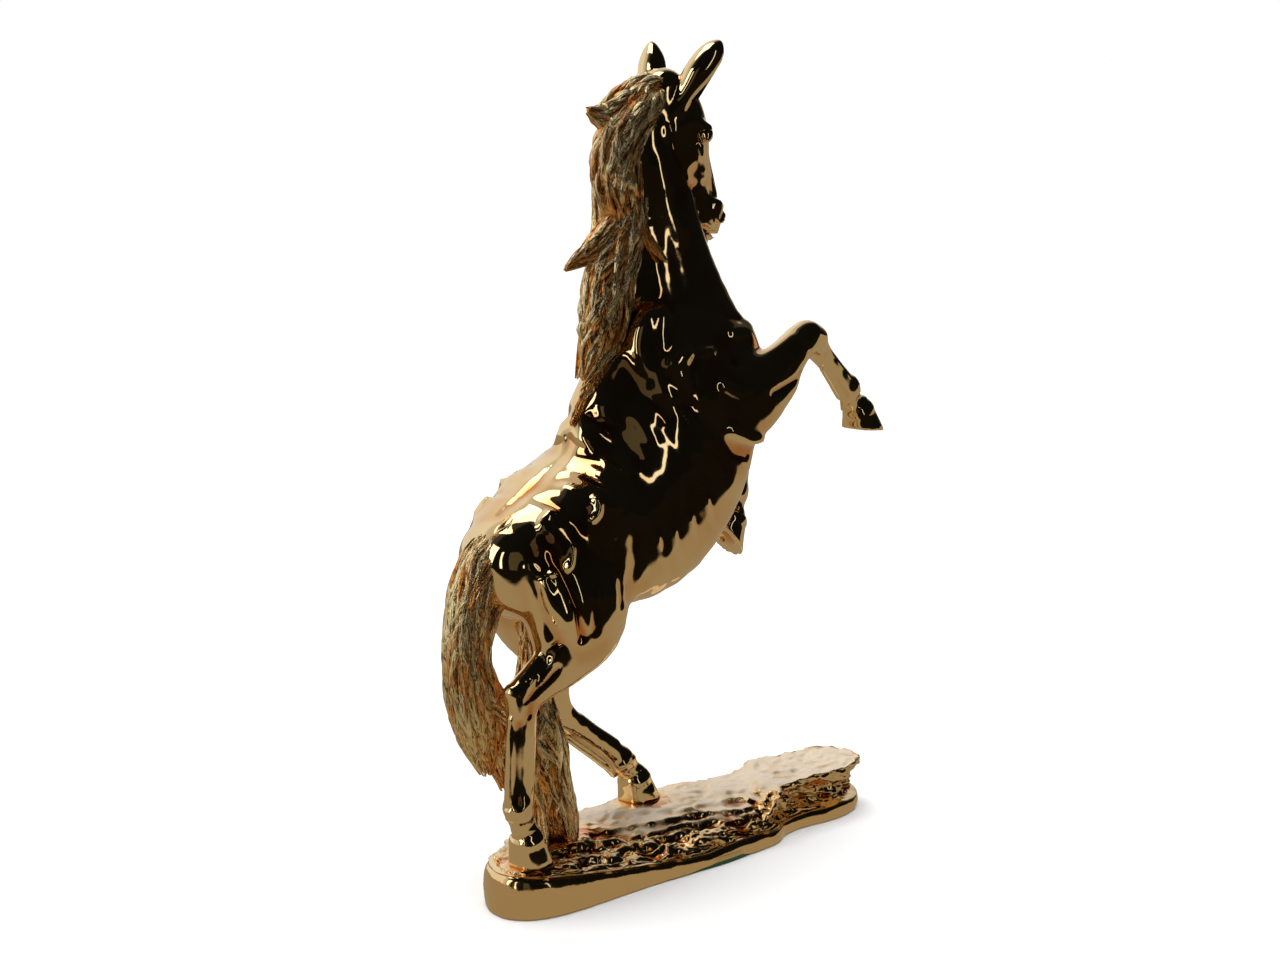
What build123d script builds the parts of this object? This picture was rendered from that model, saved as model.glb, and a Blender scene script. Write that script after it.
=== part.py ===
from build123d import *

import math
import os

# A rearing horse in cast bronze, standing on its hind hooves and its tail on a rock base.
#
# The figure is cast in sections. The torso and neck are hollow, and the head, mane, tail and legs
# are solid. Each section is cut to the skin of the one that it joins, a dowel pin is driven across
# each seam, and the seam is brazed and chased away. The hind hooves and the foot of the tail carry
# threaded studs, which pass through the hollow base to washers and nuts inside it. A plate held by
# four screws closes the underside, and a felt sheet is glued under the plate.
#
# Frame: +X is the way the horse faces, +Y is its left and +Z is up. The origin is the middle of the
# whole object's footprint, on the surface that it stands on. Millimetres.

# ---- figure
figure_height = 335.0       # soles of the hind hooves to the ear tips
table_height = 335.0        # the figure height that the station tables are written for
torso_wall = 4.5
neck_wall = 3.5
seam_web = 8.0              # solid bronze on each side of the seam between torso and neck
vent_diameter = 6.0         # core vent through that seam

# ---- base
base_height = 20.0          # floor to hoof soles
base_wall = 4.0             # top wall, and side wall at its thinnest
base_rear_margin = 16.0     # rear hoof's centre back to the end of the base
base_front_reach = 120.0    # front hind hoof's centre forward to the end of the base
base_side_margin = 16.0     # hoof centres out to the sides of the base
base_nose_width = 38.0
base_nose_y = -9.0          # centre line of the narrow front, where the rock veers to the right
rim_height = 13.0           # floor to the top edge of the smooth rim
rim_lean = 2.0              # how far the rim leans inwards from its foot to its top edge
ledge_inset = 3.0           # from the rim's top edge in to the rock above it
rock_slope = 2.5            # how far the rock leans inwards from the ledge to its top
nose_rise = 6.0             # rock at the front above the rest of the top
nose_rock_length = 62.0
plate_inset = 3.0           # from the foot of the rim in to the plate's rebate
plate_thickness = 2.0
felt_thickness = 1.5
felt_proud = 0.7            # how far the felt stands below the foot of the rim
fit_gap = 0.2               # all round the plate in its rebate

# ---- fasteners
stud_diameter = 5.0
stud_in_figure = 14.0       # stud brazed into a hoof or into the tail
stud_clearance = 0.25       # radial, in the holes of the base and the washers
stud_past_nut = 1.5
nut_across_flats = 8.0
nut_height = 4.0
washer_diameter = 10.0
washer_thickness = 1.0
washer_room = 1.0           # radial, around each washer inside the base
pin_diameter = 4.0
pin_length = 16.0
screw_diameter = 3.0
screw_head_diameter = 5.4
screw_head_height = 1.2     # sunk in the plate
screw_length = 8.0          # shank above the head
screw_boss_diameter = 8.0

# ---- stations: (x, y, height above the soles, half width across the horse, half depth)
trunk = [(-81, 0, 123, 15, 13), (-73, 0, 124, 24, 24), (-57, 0, 128, 31, 32),
         (-37, 0, 136, 33, 37), (-14, 0, 146, 35, 41), (6, 0, 160, 35, 42),
         (19, 0, 179, 33, 40), (25, 0, 200, 25, 33)]
neck = [(22, 0, 219, 18, 27), (17, 0, 238, 14, 22), (13, 0, 258, 12, 19),
        (11, 0, 278, 11, 17), (11, 0, 296, 11, 15), (14, 0, 310, 10, 13)]
head = [(12, 0, 314, 10, 12), (18, 0, 305, 12, 15), (23, 0, 292, 12.5, 15.5),
        (28, 0, 279, 10, 12), (33, 0, 268, 8, 9), (36, 0, 259, 8, 8), (38, 0, 253, 5, 5)]
right_ear = [(12, -8, 308, 4, 4), (17, -10, 317, 5.5, 4), (24, -13, 327, 5.5, 3.5),
             (31, -16, 334, 1.5, 1)]
left_ear = [(13, 8, 310, 4, 4), (16, 10, 319, 5.5, 4), (19, 12, 328, 5.5, 3.5),
            (22, 14, 334, 1.5, 1)]
mane = [(8, 0, 319, 6, 6), (-9, -2, 311, 8, 10), (-18, -4, 294, 8, 12), (-17, -5, 274, 8, 11),
        (-20, -5, 254, 8, 12), (-25, -5, 234, 9, 14), (-27, -4, 214, 5, 8)]
upper_lock = [(-8, -2, 307, 6, 7), (-19, -2, 308, 5, 5), (-30, -2, 306, 2, 2)]
lower_lock = [(-16, -4, 262, 6, 9), (-28, -3, 254, 5, 7), (-42, -2, 245, 2, 2)]
tail = [(-76, 0, 131, 6, 7), (-90, 0, 127, 8, 8), (-96, 0, 114, 10, 11), (-97, 0, 94, 12, 13),
        (-90, 1, 72, 11, 17), (-78, 2, 50, 10, 23), (-69, 2, 30, 10, 19), (-61, 1, 14, 9, 14),
        (-56, 0, 0, 8, 11)]
right_hind_leg = [(-58, -15, 128, 12, 21), (-57, -21, 113, 14, 25), (-55, -23, 98, 12, 20),
                  (-64, -22, 86, 9, 13), (-78, -21, 77, 6.5, 9), (-87, -20, 71, 6, 8.5),
                  (-89, -20, 56, 4.6, 6), (-90, -20, 38, 4.4, 5.5), (-91, -20, 26, 5.5, 6.5),
                  (-88, -20, 16, 4.6, 5.5), (-86, -20, 10, 6.5, 7.5), (-84, -20, 0, 8.5, 10)]
left_hind_leg = [(-54, 15, 128, 12, 21), (-48, 20, 111, 14, 25), (-42, 21, 92, 12, 21),
                 (-38, 19, 78, 9, 14), (-37, 17, 64, 6.5, 9), (-36, 16, 51, 6, 8),
                 (-27, 15, 42, 4.8, 6), (-10, 14, 29, 4.4, 5.5), (2, 14, 19, 5.5, 6.5),
                 (8, 13, 12, 4.8, 5.5), (10, 13, 8, 6.5, 7.5), (12, 13, 0, 8.5, 9.5)]
right_foreleg = [(26, -18, 178, 13, 24), (41, -22, 178, 13, 22), (56, -25, 180, 9.5, 14),
                 (72, -25, 188, 7.5, 10), (86, -23, 199, 6.5, 8), (94, -22, 199, 6, 7),
                 (105, -19, 188, 4.4, 5.2), (116, -17, 178, 5, 6), (124, -15.5, 170, 4.2, 4.6),
                 (127, -15, 165, 6, 6.5), (130, -14, 156, 8, 8.5)]
left_foreleg = [(26, 16, 176, 13, 24), (41, 21, 174, 13, 21), (54, 23, 173, 10, 13),
                (67, 22, 175, 8.5, 10), (78, 21, 175, 7, 8), (85, 20, 168, 6.2, 7),
                (84, 19, 155, 4.4, 5.2), (82, 18, 142, 4.4, 5.2), (79, 17, 130, 5, 6),
                (77, 16.5, 122, 4.2, 4.6), (75, 16, 117, 6, 6.5), (70, 16, 109, 8, 8.5)]
flat_sole = (0, 0, -1)
right_fore_sole = (-0.1, 0, -1)
left_fore_sole = (-0.8, 0, -0.6)
ring_points = 12

# ---- worked out from the sizes above
figure_scale = figure_height / table_height
rim_foot = felt_proud
plate_bottom = felt_thickness
plate_top = plate_bottom + plate_thickness
cavity_top = base_height - base_wall
cavity_inset = base_wall + rim_lean + ledge_inset + rock_slope
nut_bottom = cavity_top - washer_thickness - nut_height
pin_radius = pin_diameter / 2


def place(station):
    """A station's centre in the object, with the soles on top of the base."""
    x, y, height = station[:3]
    return Vector(x * figure_scale, y * figure_scale, base_height + height * figure_scale)


def ring(centre, normal, half_width, half_depth):
    """A closed oval around centre, wide across the horse and deep along its side."""
    normal = normal.normalized()
    across = (Vector(0, 1, 0) - normal * normal.Y).normalized()
    along = normal.cross(across)
    turn = 2 * math.pi / ring_points
    points = [centre + across * (half_width * math.cos(turn * i))
              + along * (half_depth * math.sin(turn * i)) for i in range(ring_points)]
    return Wire([Edge.make_spline(points, periodic=True)])


def rings(stations, last_normal=None, thinner=0.0):
    """An oval at each station, square to the line of stations, thinner by that much all round."""
    centres = [place(s) for s in stations]
    found = []
    for i, station in enumerate(stations):
        normal = centres[min(i + 1, len(centres) - 1)] - centres[max(i - 1, 0)]
        if last_normal and i == len(stations) - 1:
            normal = Vector(*last_normal)
        half_width, half_depth = (s * figure_scale - thinner for s in station[3:])
        found.append(ring(centres[i], normal, half_width, half_depth))
    return found


def limb(stations, last_normal=None):
    return Solid.make_loft(rings(stations, last_normal))


def largest(shape):
    """The largest solid of a cut, without the crumbs that two skins can leave beside it."""
    return max(shape.solids(), key=lambda s: s.volume)


def rod(start, direction, radius, length):
    return Solid.make_cylinder(radius, length, Plane(origin=start, z_dir=direction))


def crossing(stations, skin):
    """Where the line of stations leaves the solid skin, and its direction there."""
    centres = [place(s) for s in stations]
    for inner, outer in zip(centres, centres[1:]):
        if skin.is_inside(inner) and not skin.is_inside(outer):
            direction = (outer - inner).normalized()
            for _ in range(20):
                middle = (inner + outer) / 2
                inner, outer = (middle, outer) if skin.is_inside(middle) else (inner, middle)
            return inner, direction
    raise ValueError("the line of stations does not leave the skin")


def seam_pin(stations, skin):
    """A dowel pin centred on the place where the line of stations leaves the solid skin."""
    seam, direction = crossing(stations, skin)
    return rod(seam - direction * (pin_length / 2), direction, pin_radius, pin_length)


def outline(inset, z):
    """The base's plan, that far in from the foot of its rim, as a closed curve at height z."""
    right = place(right_hind_leg[-1])
    left = place(left_hind_leg[-1])
    rear, front = right.X - base_rear_margin, left.X + base_front_reach
    low, high = right.Y - base_side_margin, left.Y + base_side_margin
    nose_low, nose_high = base_nose_y - base_nose_width / 2, base_nose_y + base_nose_width / 2
    step = (left.X + front) / 2 - 12
    plan = [(rear, low + 14), (rear + 8, low + 4), (rear + 26, low), (right.X + 50, low),
            (step - 16, low), (step + 8, nose_low), (front - 26, nose_low),
            (front - 6, nose_low + 9), (front, base_nose_y + 4), (front - 10, nose_high - 4),
            (front - 36, nose_high), (step, nose_high + 4), (left.X + 22, high),
            (left.X - 20, high + 2), (left.X - 62, high - 6), (rear + 14, 6), (rear + 2, -8)]
    points = []
    for i, (x, y) in enumerate(plan):
        along = Vector(*plan[(i + 1) % len(plan)]) - Vector(*plan[i - 1])
        inward = Vector(-along.Y, along.X).normalized()
        points.append(Vector(x, y, z) + inward * inset)
    return Wire([Edge.make_spline(points, periodic=True)])


def slab(bottom_inset, bottom_z, top_inset, top_z):
    """The base's plan raised from one height to another, with an inset at each."""
    return Solid.make_loft([outline(bottom_inset, bottom_z), outline(top_inset, top_z)])


def stud_places():
    return [place(right_hind_leg[-1]), place(left_hind_leg[-1]), place(tail[-1])]


def screw_places():
    """Where the plate's screws go: one at each end and one against each side wall."""
    right = place(right_hind_leg[-1])
    left = place(left_hind_leg[-1])
    middle = (right.X + left.X) / 2
    from_wall = cavity_inset + screw_boss_diameter / 2 - 1
    return [Vector(right.X + 12, (right.Y + left.Y) / 2 + 8),
            Vector(left.X + base_front_reach - cavity_inset - screw_boss_diameter, base_nose_y + 2),
            Vector(middle, right.Y - base_side_margin + from_wall),
            Vector(middle, left.Y + base_side_margin - from_wall)]


def make_base():
    rim = slab(0, rim_foot, rim_lean, rim_height)
    rock_inset = rim_lean + ledge_inset
    rock = slab(rock_inset, rim_height - 1, rock_inset + rock_slope, base_height)
    front = place(left_hind_leg[-1]).X + base_front_reach - cavity_inset
    nose_centre = Vector(front - nose_rock_length / 2, base_nose_y)
    half_length, half_width = nose_rock_length / 2, base_nose_width / 2 - rock_inset
    levels = [(rim_height - 1, 0.0), (base_height + nose_rise, rock_slope)]
    nose = Solid.make_loft([ring(nose_centre + Vector(0, 0, z), Vector(0, 0, 1),
                                 half_width - less, half_length - less) for z, less in levels])
    body = rim + rock + nose
    hollow = slab(cavity_inset, plate_top, cavity_inset, cavity_top)
    rebate = slab(plate_inset, rim_foot - 1, plate_inset, plate_top)
    for place_ in stud_places():
        room = rod(Vector(place_.X, place_.Y, plate_top), Vector(0, 0, 1),
                   washer_diameter / 2 + washer_room, cavity_top - plate_top)
        hollow = hollow + room
    body = body - hollow
    for place_ in screw_places():
        boss = rod(Vector(place_.X, place_.Y, plate_top), Vector(0, 0, 1),
                   screw_boss_diameter / 2, cavity_top - plate_top + 1)
        body = body + boss
    body = body - rebate
    for place_ in screw_places():
        body = body - rod(Vector(place_.X, place_.Y, plate_top), Vector(0, 0, 1),
                          screw_diameter / 2, screw_length)
    for place_ in stud_places():
        body = body - rod(Vector(place_.X, place_.Y, plate_top), Vector(0, 0, 1),
                          stud_diameter / 2 + stud_clearance, base_height)
    return largest(body)


def make_plate():
    plate = slab(plate_inset + fit_gap, plate_bottom, plate_inset + fit_gap, plate_top)
    for screw in make_screws():
        plate = plate - screw
    return plate


def make_screws():
    """Four screws with their heads sunk level with the plate's lower face."""
    screws = []
    for place_ in screw_places():
        foot = Vector(place_.X, place_.Y, plate_bottom)
        head_ = rod(foot, Vector(0, 0, 1), screw_head_diameter / 2, screw_head_height)
        shank = rod(foot, Vector(0, 0, 1), screw_diameter / 2,
                    plate_thickness + screw_length - screw_head_height)
        screws.append(head_ + shank)
    return screws


def make_felt():
    return slab(plate_inset + fit_gap, 0, plate_inset + fit_gap, felt_thickness)


def make_stud(sole):
    """A threaded stud from inside the figure down past its nut."""
    top = base_height + stud_in_figure
    bottom = nut_bottom - stud_past_nut
    return rod(Vector(sole.X, sole.Y, bottom), Vector(0, 0, 1), stud_diameter / 2, top - bottom)


def make_washer(sole):
    bottom = Vector(sole.X, sole.Y, cavity_top - washer_thickness)
    disc = rod(bottom, Vector(0, 0, 1), washer_diameter / 2, washer_thickness)
    return disc - rod(bottom, Vector(0, 0, 1), stud_diameter / 2 + stud_clearance, washer_thickness)


def make_nut(sole):
    corner_radius = nut_across_flats / math.sqrt(3)
    hexagon = Pos(sole.X, sole.Y, nut_bottom) * RegularPolygon(corner_radius, 6)
    return (extrude(hexagon, nut_height)
            - rod(Vector(sole.X, sole.Y, nut_bottom), Vector(0, 0, 1), stud_diameter / 2, nut_height))


def make_neck_pins(seam, direction):
    """Two dowels across the seam between torso and neck, one on each side of the core vent."""
    side = (vent_diameter + pin_diameter) / 2 + 2
    start = seam - direction * (pin_length / 2)
    return [rod(start + Vector(0, s * side, 0), direction, pin_radius, pin_length) for s in (-1, 1)]


def make_figure():
    """The horse's castings and their pins, by node name."""
    body_rings = rings(trunk + neck)
    torso_skin = Solid.make_loft(body_rings[:len(trunk)])
    neck_skin = Solid.make_loft(body_rings[len(trunk) - 1:])
    seam = place(trunk[-1])
    up_neck = (place(neck[0]) - place(trunk[-2])).normalized()

    torso_hollow = Solid.make_loft(rings(trunk + neck, thinner=torso_wall)[1:len(trunk)])
    neck_hollow = Solid.make_loft(rings(trunk + neck, thinner=neck_wall)[len(trunk) - 1:-1])
    web = Plane(origin=seam - up_neck * seam_web, z_dir=up_neck)
    room = 2 * figure_height
    web_block = Solid.make_box(room, room, 2 * seam_web, web).translate(
        -(web.x_dir + web.y_dir) * (room / 2))
    torso_hollow = torso_hollow - web_block
    neck_hollow = neck_hollow - web_block
    vent = rod(seam - up_neck * (seam_web + 4), up_neck, vent_diameter / 2, 2 * seam_web + 8)

    ears = [limb(right_ear), limb(left_ear)]
    head_casting = limb(head) + ears[0] + ears[1] - neck_skin
    mane_casting = limb(mane) + limb(upper_lock) + limb(lower_lock) - neck_skin - head_casting
    legs = {"right_hind_leg": (right_hind_leg, flat_sole), "left_hind_leg": (left_hind_leg, flat_sole),
            "right_foreleg": (right_foreleg, right_fore_sole),
            "left_foreleg": (left_foreleg, left_fore_sole)}

    nodes = {"torso_casting": torso_skin - torso_hollow - vent,
             "neck_casting": neck_skin - neck_hollow - vent,
             "head_casting": largest(head_casting),
             "mane_casting": largest(mane_casting)}
    for name, (stations, sole) in legs.items():
        nodes[name] = largest(limb(stations, sole) - torso_skin - neck_skin)
    tail_casting = limb(tail, flat_sole) - torso_skin
    nodes["tail_casting"] = largest(tail_casting - nodes["right_hind_leg"] - nodes["left_hind_leg"])

    pins = {"neck_pins": make_neck_pins(seam, up_neck),
            "head_pin": [seam_pin([neck[-2], head[3]], neck_skin)],
            "mane_pins": [seam_pin([neck[i], mane[j]], neck_skin) for i, j in ((3, 2), (1, 4))],
            "tail_pin": [seam_pin(tail, torso_skin)],
            "hind_leg_pins": [seam_pin(legs[n][0], torso_skin)
                              for n in ("right_hind_leg", "left_hind_leg")],
            "foreleg_pins": [seam_pin(legs[n][0], torso_skin)
                             for n in ("right_foreleg", "left_foreleg")]}
    studs = [make_stud(p) for p in stud_places()]
    driven = [p for group in pins.values() for p in group] + studs
    nodes = {name: node - driven for name, node in nodes.items()}
    return nodes, pins, studs


def main():
    nodes, pins, studs = make_figure()
    nodes.update(pins)
    nodes["rock_base"] = make_base()
    nodes["bottom_plate"] = make_plate()
    nodes["plate_screws"] = make_screws()
    nodes["felt_sheet"] = make_felt()
    nodes["hind_hoof_studs"] = studs[:2]
    nodes["tail_stud"] = studs[2:]
    nodes["stud_washers"] = [make_washer(p) for p in stud_places()]
    nodes["stud_nuts"] = [make_nut(p) for p in stud_places()]

    shapes = {name: Compound(made if isinstance(made, list) else made.solids())
              for name, made in nodes.items()}
    box = Compound(list(shapes.values())).bounding_box()
    to_origin = Vector(-(box.min.X + box.max.X) / 2, -(box.min.Y + box.max.Y) / 2, -box.min.Z)
    os.makedirs("parts", exist_ok=True)
    for name, shape in shapes.items():
        shape.label = name
        export_step(shape.translate(to_origin), f"parts/{name}.step")
    print("box", box.size, "moved", to_origin)


main()
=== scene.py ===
import bpy
import numpy as np
from mathutils import Matrix, Vector


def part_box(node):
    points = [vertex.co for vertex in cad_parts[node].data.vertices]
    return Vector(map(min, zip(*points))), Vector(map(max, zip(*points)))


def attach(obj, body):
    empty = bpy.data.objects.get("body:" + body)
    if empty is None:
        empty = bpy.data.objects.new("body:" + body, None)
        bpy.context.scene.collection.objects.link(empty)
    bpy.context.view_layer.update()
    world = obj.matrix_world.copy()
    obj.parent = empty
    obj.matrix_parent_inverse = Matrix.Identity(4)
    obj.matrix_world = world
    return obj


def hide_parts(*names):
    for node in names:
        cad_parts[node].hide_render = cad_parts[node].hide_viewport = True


# A rearing horse in mirror-bright gold bronze, on its hind hooves and tail, over a rock base.
# The castings' skins are worked out in the figure's own millimetres: x the way the horse faces,
# y its left, and height above the soles. toFrame puts them in the frame.

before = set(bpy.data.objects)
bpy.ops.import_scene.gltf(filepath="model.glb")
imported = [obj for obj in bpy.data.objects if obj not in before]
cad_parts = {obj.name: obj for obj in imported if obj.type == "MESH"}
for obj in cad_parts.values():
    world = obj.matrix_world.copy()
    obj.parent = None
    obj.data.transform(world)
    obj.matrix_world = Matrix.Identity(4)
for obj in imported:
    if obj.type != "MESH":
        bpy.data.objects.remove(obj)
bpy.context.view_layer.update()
rng = np.random.default_rng(7)

studLow, studHigh = (np.array(corner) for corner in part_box("tail_stud"))
hoofStudLow, hoofStudHigh = (np.array(corner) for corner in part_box("hind_hoof_studs"))
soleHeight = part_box("tail_casting")[0].z
studStance = 96.0      # between the two hind hooves' studs, along x, in the figure's millimetres
tailStudX = -56.0
unit = ((hoofStudHigh - hoofStudLow)[0] - (studHigh - studLow)[0]) / studStance
anchor = np.array([(studLow + studHigh)[0] / 2 - tailStudX * unit, (studLow + studHigh)[1] / 2, soleHeight])


def toFrame(points):
    return anchor + np.asarray(points, float) * unit


def smoothRows(rows, count):
    # Catmull-Rom through the rows, spread evenly by length of the first three columns.
    rows = np.asarray(rows, float)
    padded = np.vstack([2 * rows[0] - rows[1], rows, 2 * rows[-1] - rows[-2]])
    fine = np.linspace(0, len(rows) - 1, 24 * len(rows))
    i = np.minimum(fine.astype(int), len(rows) - 2)
    t = (fine - i)[:, None]
    p0, p1, p2, p3 = padded[i], padded[i + 1], padded[i + 2], padded[i + 3]
    curve = 0.5 * (2 * p1 + (p2 - p0) * t + (2 * p0 - 5 * p1 + 4 * p2 - p3) * t ** 2
                   + (3 * p1 - p0 - 3 * p2 + p3) * t ** 3)
    length = np.concatenate([[0], np.cumsum(np.linalg.norm(np.diff(curve[:, :3], axis=0), axis=1))])
    even = np.linspace(0, length[-1], count)
    return np.stack([np.interp(even, length, column) for column in curve.T], axis=1)


def rowsLength(rows):
    return np.linalg.norm(np.diff(np.asarray(rows, float)[:, :3], axis=0), axis=1).sum()


def lattice(cell, seed):
    # A repeatable random number from 0 to 1 for each whole-numbered cell.
    mixed = (cell[0] * 374761393 + cell[1] * 668265263 + cell[2] * 2147483647 + seed * 974634777)
    mixed = (mixed ^ (mixed >> 13)) * 1274126177
    return ((mixed ^ (mixed >> 16)) & 0xFFFFFF) / float(0xFFFFFF)


def noise(x, y, z, seed=0):
    # Value noise from -1 to 1: random corners of a unit lattice, blended smoothly.
    x, y, z = np.broadcast_arrays(x, y, z)
    whole = [np.floor(a).astype(np.int64) for a in (x, y, z)]
    part = [a - w for a, w in zip((x, y, z), whole)]
    part = [p * p * (3 - 2 * p) for p in part]
    total = 0
    for corner in range(8):
        step = [(corner >> k) & 1 for k in range(3)]
        weight = 1
        for p, s in zip(part, step):
            weight = weight * (p if s else 1 - p)
        total = total + weight * lattice([w + s for w, s in zip(whole, step)], seed)
    return 2 * total - 1


def roughness(x, y, z, octaves, seed=0):
    # Octaves of noise, each half as large and twice as strong in detail.
    return sum(noise(x * 2 ** k, y * 2 ** k, z * 2 ** k, seed + k) / 2 ** k for k in range(octaves))


farAway = 9.0          # distances past this are not followed
flatness = 0.25, 0.8   # how much flatter a bar's sides are than an oval's, above and below


def makeGrid(low, high, step):
    low, high = np.array(low, float), np.array(high, float)
    count = np.ceil((high - low) / step).astype(int) + 1
    axes = [low[k] + step * np.arange(count[k]) for k in range(3)]
    return {"low": low, "step": step, "axes": axes, "count": count}


def emptyField(grid):
    return np.full(grid["count"], farAway, np.float32)


def window(grid, low, high):
    # The slices of the grid between two corners, and its x, y and z there, or None if it has none.
    slices, coords = [], []
    for k in range(3):
        first = max(int(np.floor((low[k] - grid["low"][k]) / grid["step"])), 0)
        last = min(int(np.ceil((high[k] - grid["low"][k]) / grid["step"])) + 1, grid["count"][k])
        if last <= first:
            return None
        shape = [1, 1, 1]
        shape[k] = -1
        slices.append(slice(first, last))
        coords.append(grid["axes"][k][first:last].reshape(shape).astype(np.float32))
    return tuple(slices), coords


def ovalBar(coords, start, end, width, depth, across):
    # Distance to a bar with an oval section that tapers from start to end: width across, depth along.
    # It is k0 (k0 - 1) / k1, with k0 the length of the offset over the radii and k1 over their squares.
    along = end - start
    length = max(np.linalg.norm(along), 1e-3)
    tangent = along / length if length > 1e-3 else np.array([0, 0, 1.0])
    side = across - tangent * (across @ tangent)
    side = side / np.linalg.norm(side)
    deep = np.cross(tangent, side)
    d = [c - np.float32(s) for c, s in zip(coords, start)]
    dot = lambda v: d[0] * np.float32(v[0]) + d[1] * np.float32(v[1]) + d[2] * np.float32(v[2])
    run = dot(tangent)
    t = np.clip(run / length, 0, 1)
    a = width[0] + (width[1] - width[0]) * t
    b = depth[0] + (depth[1] - depth[0]) * t
    c = (a + b) / 2
    u, v, w = dot(side) / a, dot(deep) / b, (run - t * length) / c
    box = np.where(v < 0, np.float32(flatness[1]), np.float32(flatness[0]))
    k0 = np.sqrt((1 - box) * (u * u + v * v) + box * np.sqrt(u ** 4 + v ** 4) + w * w)
    k1 = np.sqrt((u / a) ** 2 + (v / b) ** 2 + (w / c) ** 2)
    return k0 * (k0 - 1) / np.maximum(k1, 1e-6)


def blendIn(a, b, k):
    # The smaller of a and b, with the corner between them rounded over k.
    h = np.maximum(k - np.abs(a - b), 0) / k
    return np.minimum(a, b) - h * h * h * (k / 6)


def carveOut(a, b, k):
    # a with the inside of b taken away, and the edge rounded over k.
    return -blendIn(-a, b, k)


def addBar(grid, field, bar, mirrored=True, carve=False):
    # Joins a bar to the field, or carves it out: bar is (start, end, widths, depths, blend).
    start, end, width, depth, blend = bar
    for side in ((1, -1) if mirrored else (1,)):
        a, b = (np.array(p, float) * (1, side, 1) for p in (start, end))
        reach = max(*width, *depth) + blend + 3
        found = window(grid, np.minimum(a, b) - reach, np.maximum(a, b) + reach)
        if found is None:
            continue
        slices, coords = found
        made = ovalBar(coords, a, b, width, depth, np.array([0, 1.0, 0]))
        join = carveOut if carve else blendIn
        field[slices] = join(field[slices], made, blend)


def addChain(grid, stations, spacing):
    # The field of a limb: the nearest of a chain of oval bars along the smoothed stations.
    rows = smoothRows(stations, max(int(rowsLength(stations) / spacing) + 1, 3))
    field = emptyField(grid)
    for a, b in zip(rows, rows[1:]):
        reach = max(a[3:5].max(), b[3:5].max()) + farAway
        found = window(grid, np.minimum(a, b)[:3] - reach, np.maximum(a, b)[:3] + reach)
        if found is None:
            continue
        slices, coords = found
        bar = ovalBar(coords, a[:3], b[:3], (a[3], b[3]), (a[4], b[4]), np.array([0, 1.0, 0]))
        field[slices] = np.minimum(field[slices], bar)
    return soften(field, 3)


def soften(field, passes):
    # Each value averaged with its neighbours, a quarter, a half and a quarter, along each axis.
    for _ in range(passes):
        for k in range(3):
            f = np.moveaxis(field, k, 0)
            g = f.copy()
            g[1:-1] = f[:-2] * 0.25 + f[1:-1] * 0.5 + f[2:] * 0.25
            field = np.moveaxis(g, 0, k)
    return field


def addStroke(grid, field, points, width, height, mirrored=True):
    # Raises the skin by height along a line of points, or sinks it where height is below zero:
    # height times e to the minus (distance / width) squared.
    for side in ((1, -1) if mirrored else (1,)):
        line = np.array(points, float) * (1, side, 1)
        line = smoothRows(line, max(int(rowsLength(line) / 3) + 2, 3)) if len(line) > 2 else line
        reach = 2.6 * width
        found = window(grid, line.min(0) - reach, line.max(0) + reach)
        if found is None:
            continue
        slices, coords = found
        nearest = None
        for a, b in zip(line, line[1:]):
            along = b - a
            d = [c - np.float32(s) for c, s in zip(coords, a)]
            t = np.clip(sum(e * np.float32(v) for e, v in zip(d, along)) / (along @ along), 0, 1)
            gap = sum((e - t * np.float32(v)) ** 2 for e, v in zip(d, along))
            nearest = gap if nearest is None else np.minimum(nearest, gap)
        field[slices] -= height * np.exp(-nearest / width ** 2)


def sample(grid, field, points):
    # The field at any points, blended from the eight grid values round each.
    place = (points - grid["low"]) / grid["step"]
    cell = np.clip(np.floor(place).astype(int), 0, np.array(field.shape[:3]) - 2)
    part = place - cell
    total = 0
    for corner in range(8):
        step = np.array([(corner >> k) & 1 for k in range(3)])
        weight = np.prod(np.where(step, part, 1 - part), axis=1)
        value = field[tuple((cell + step).T)]
        total = total + (weight[:, None] if value.ndim > 1 else weight) * value
    return total


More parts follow.
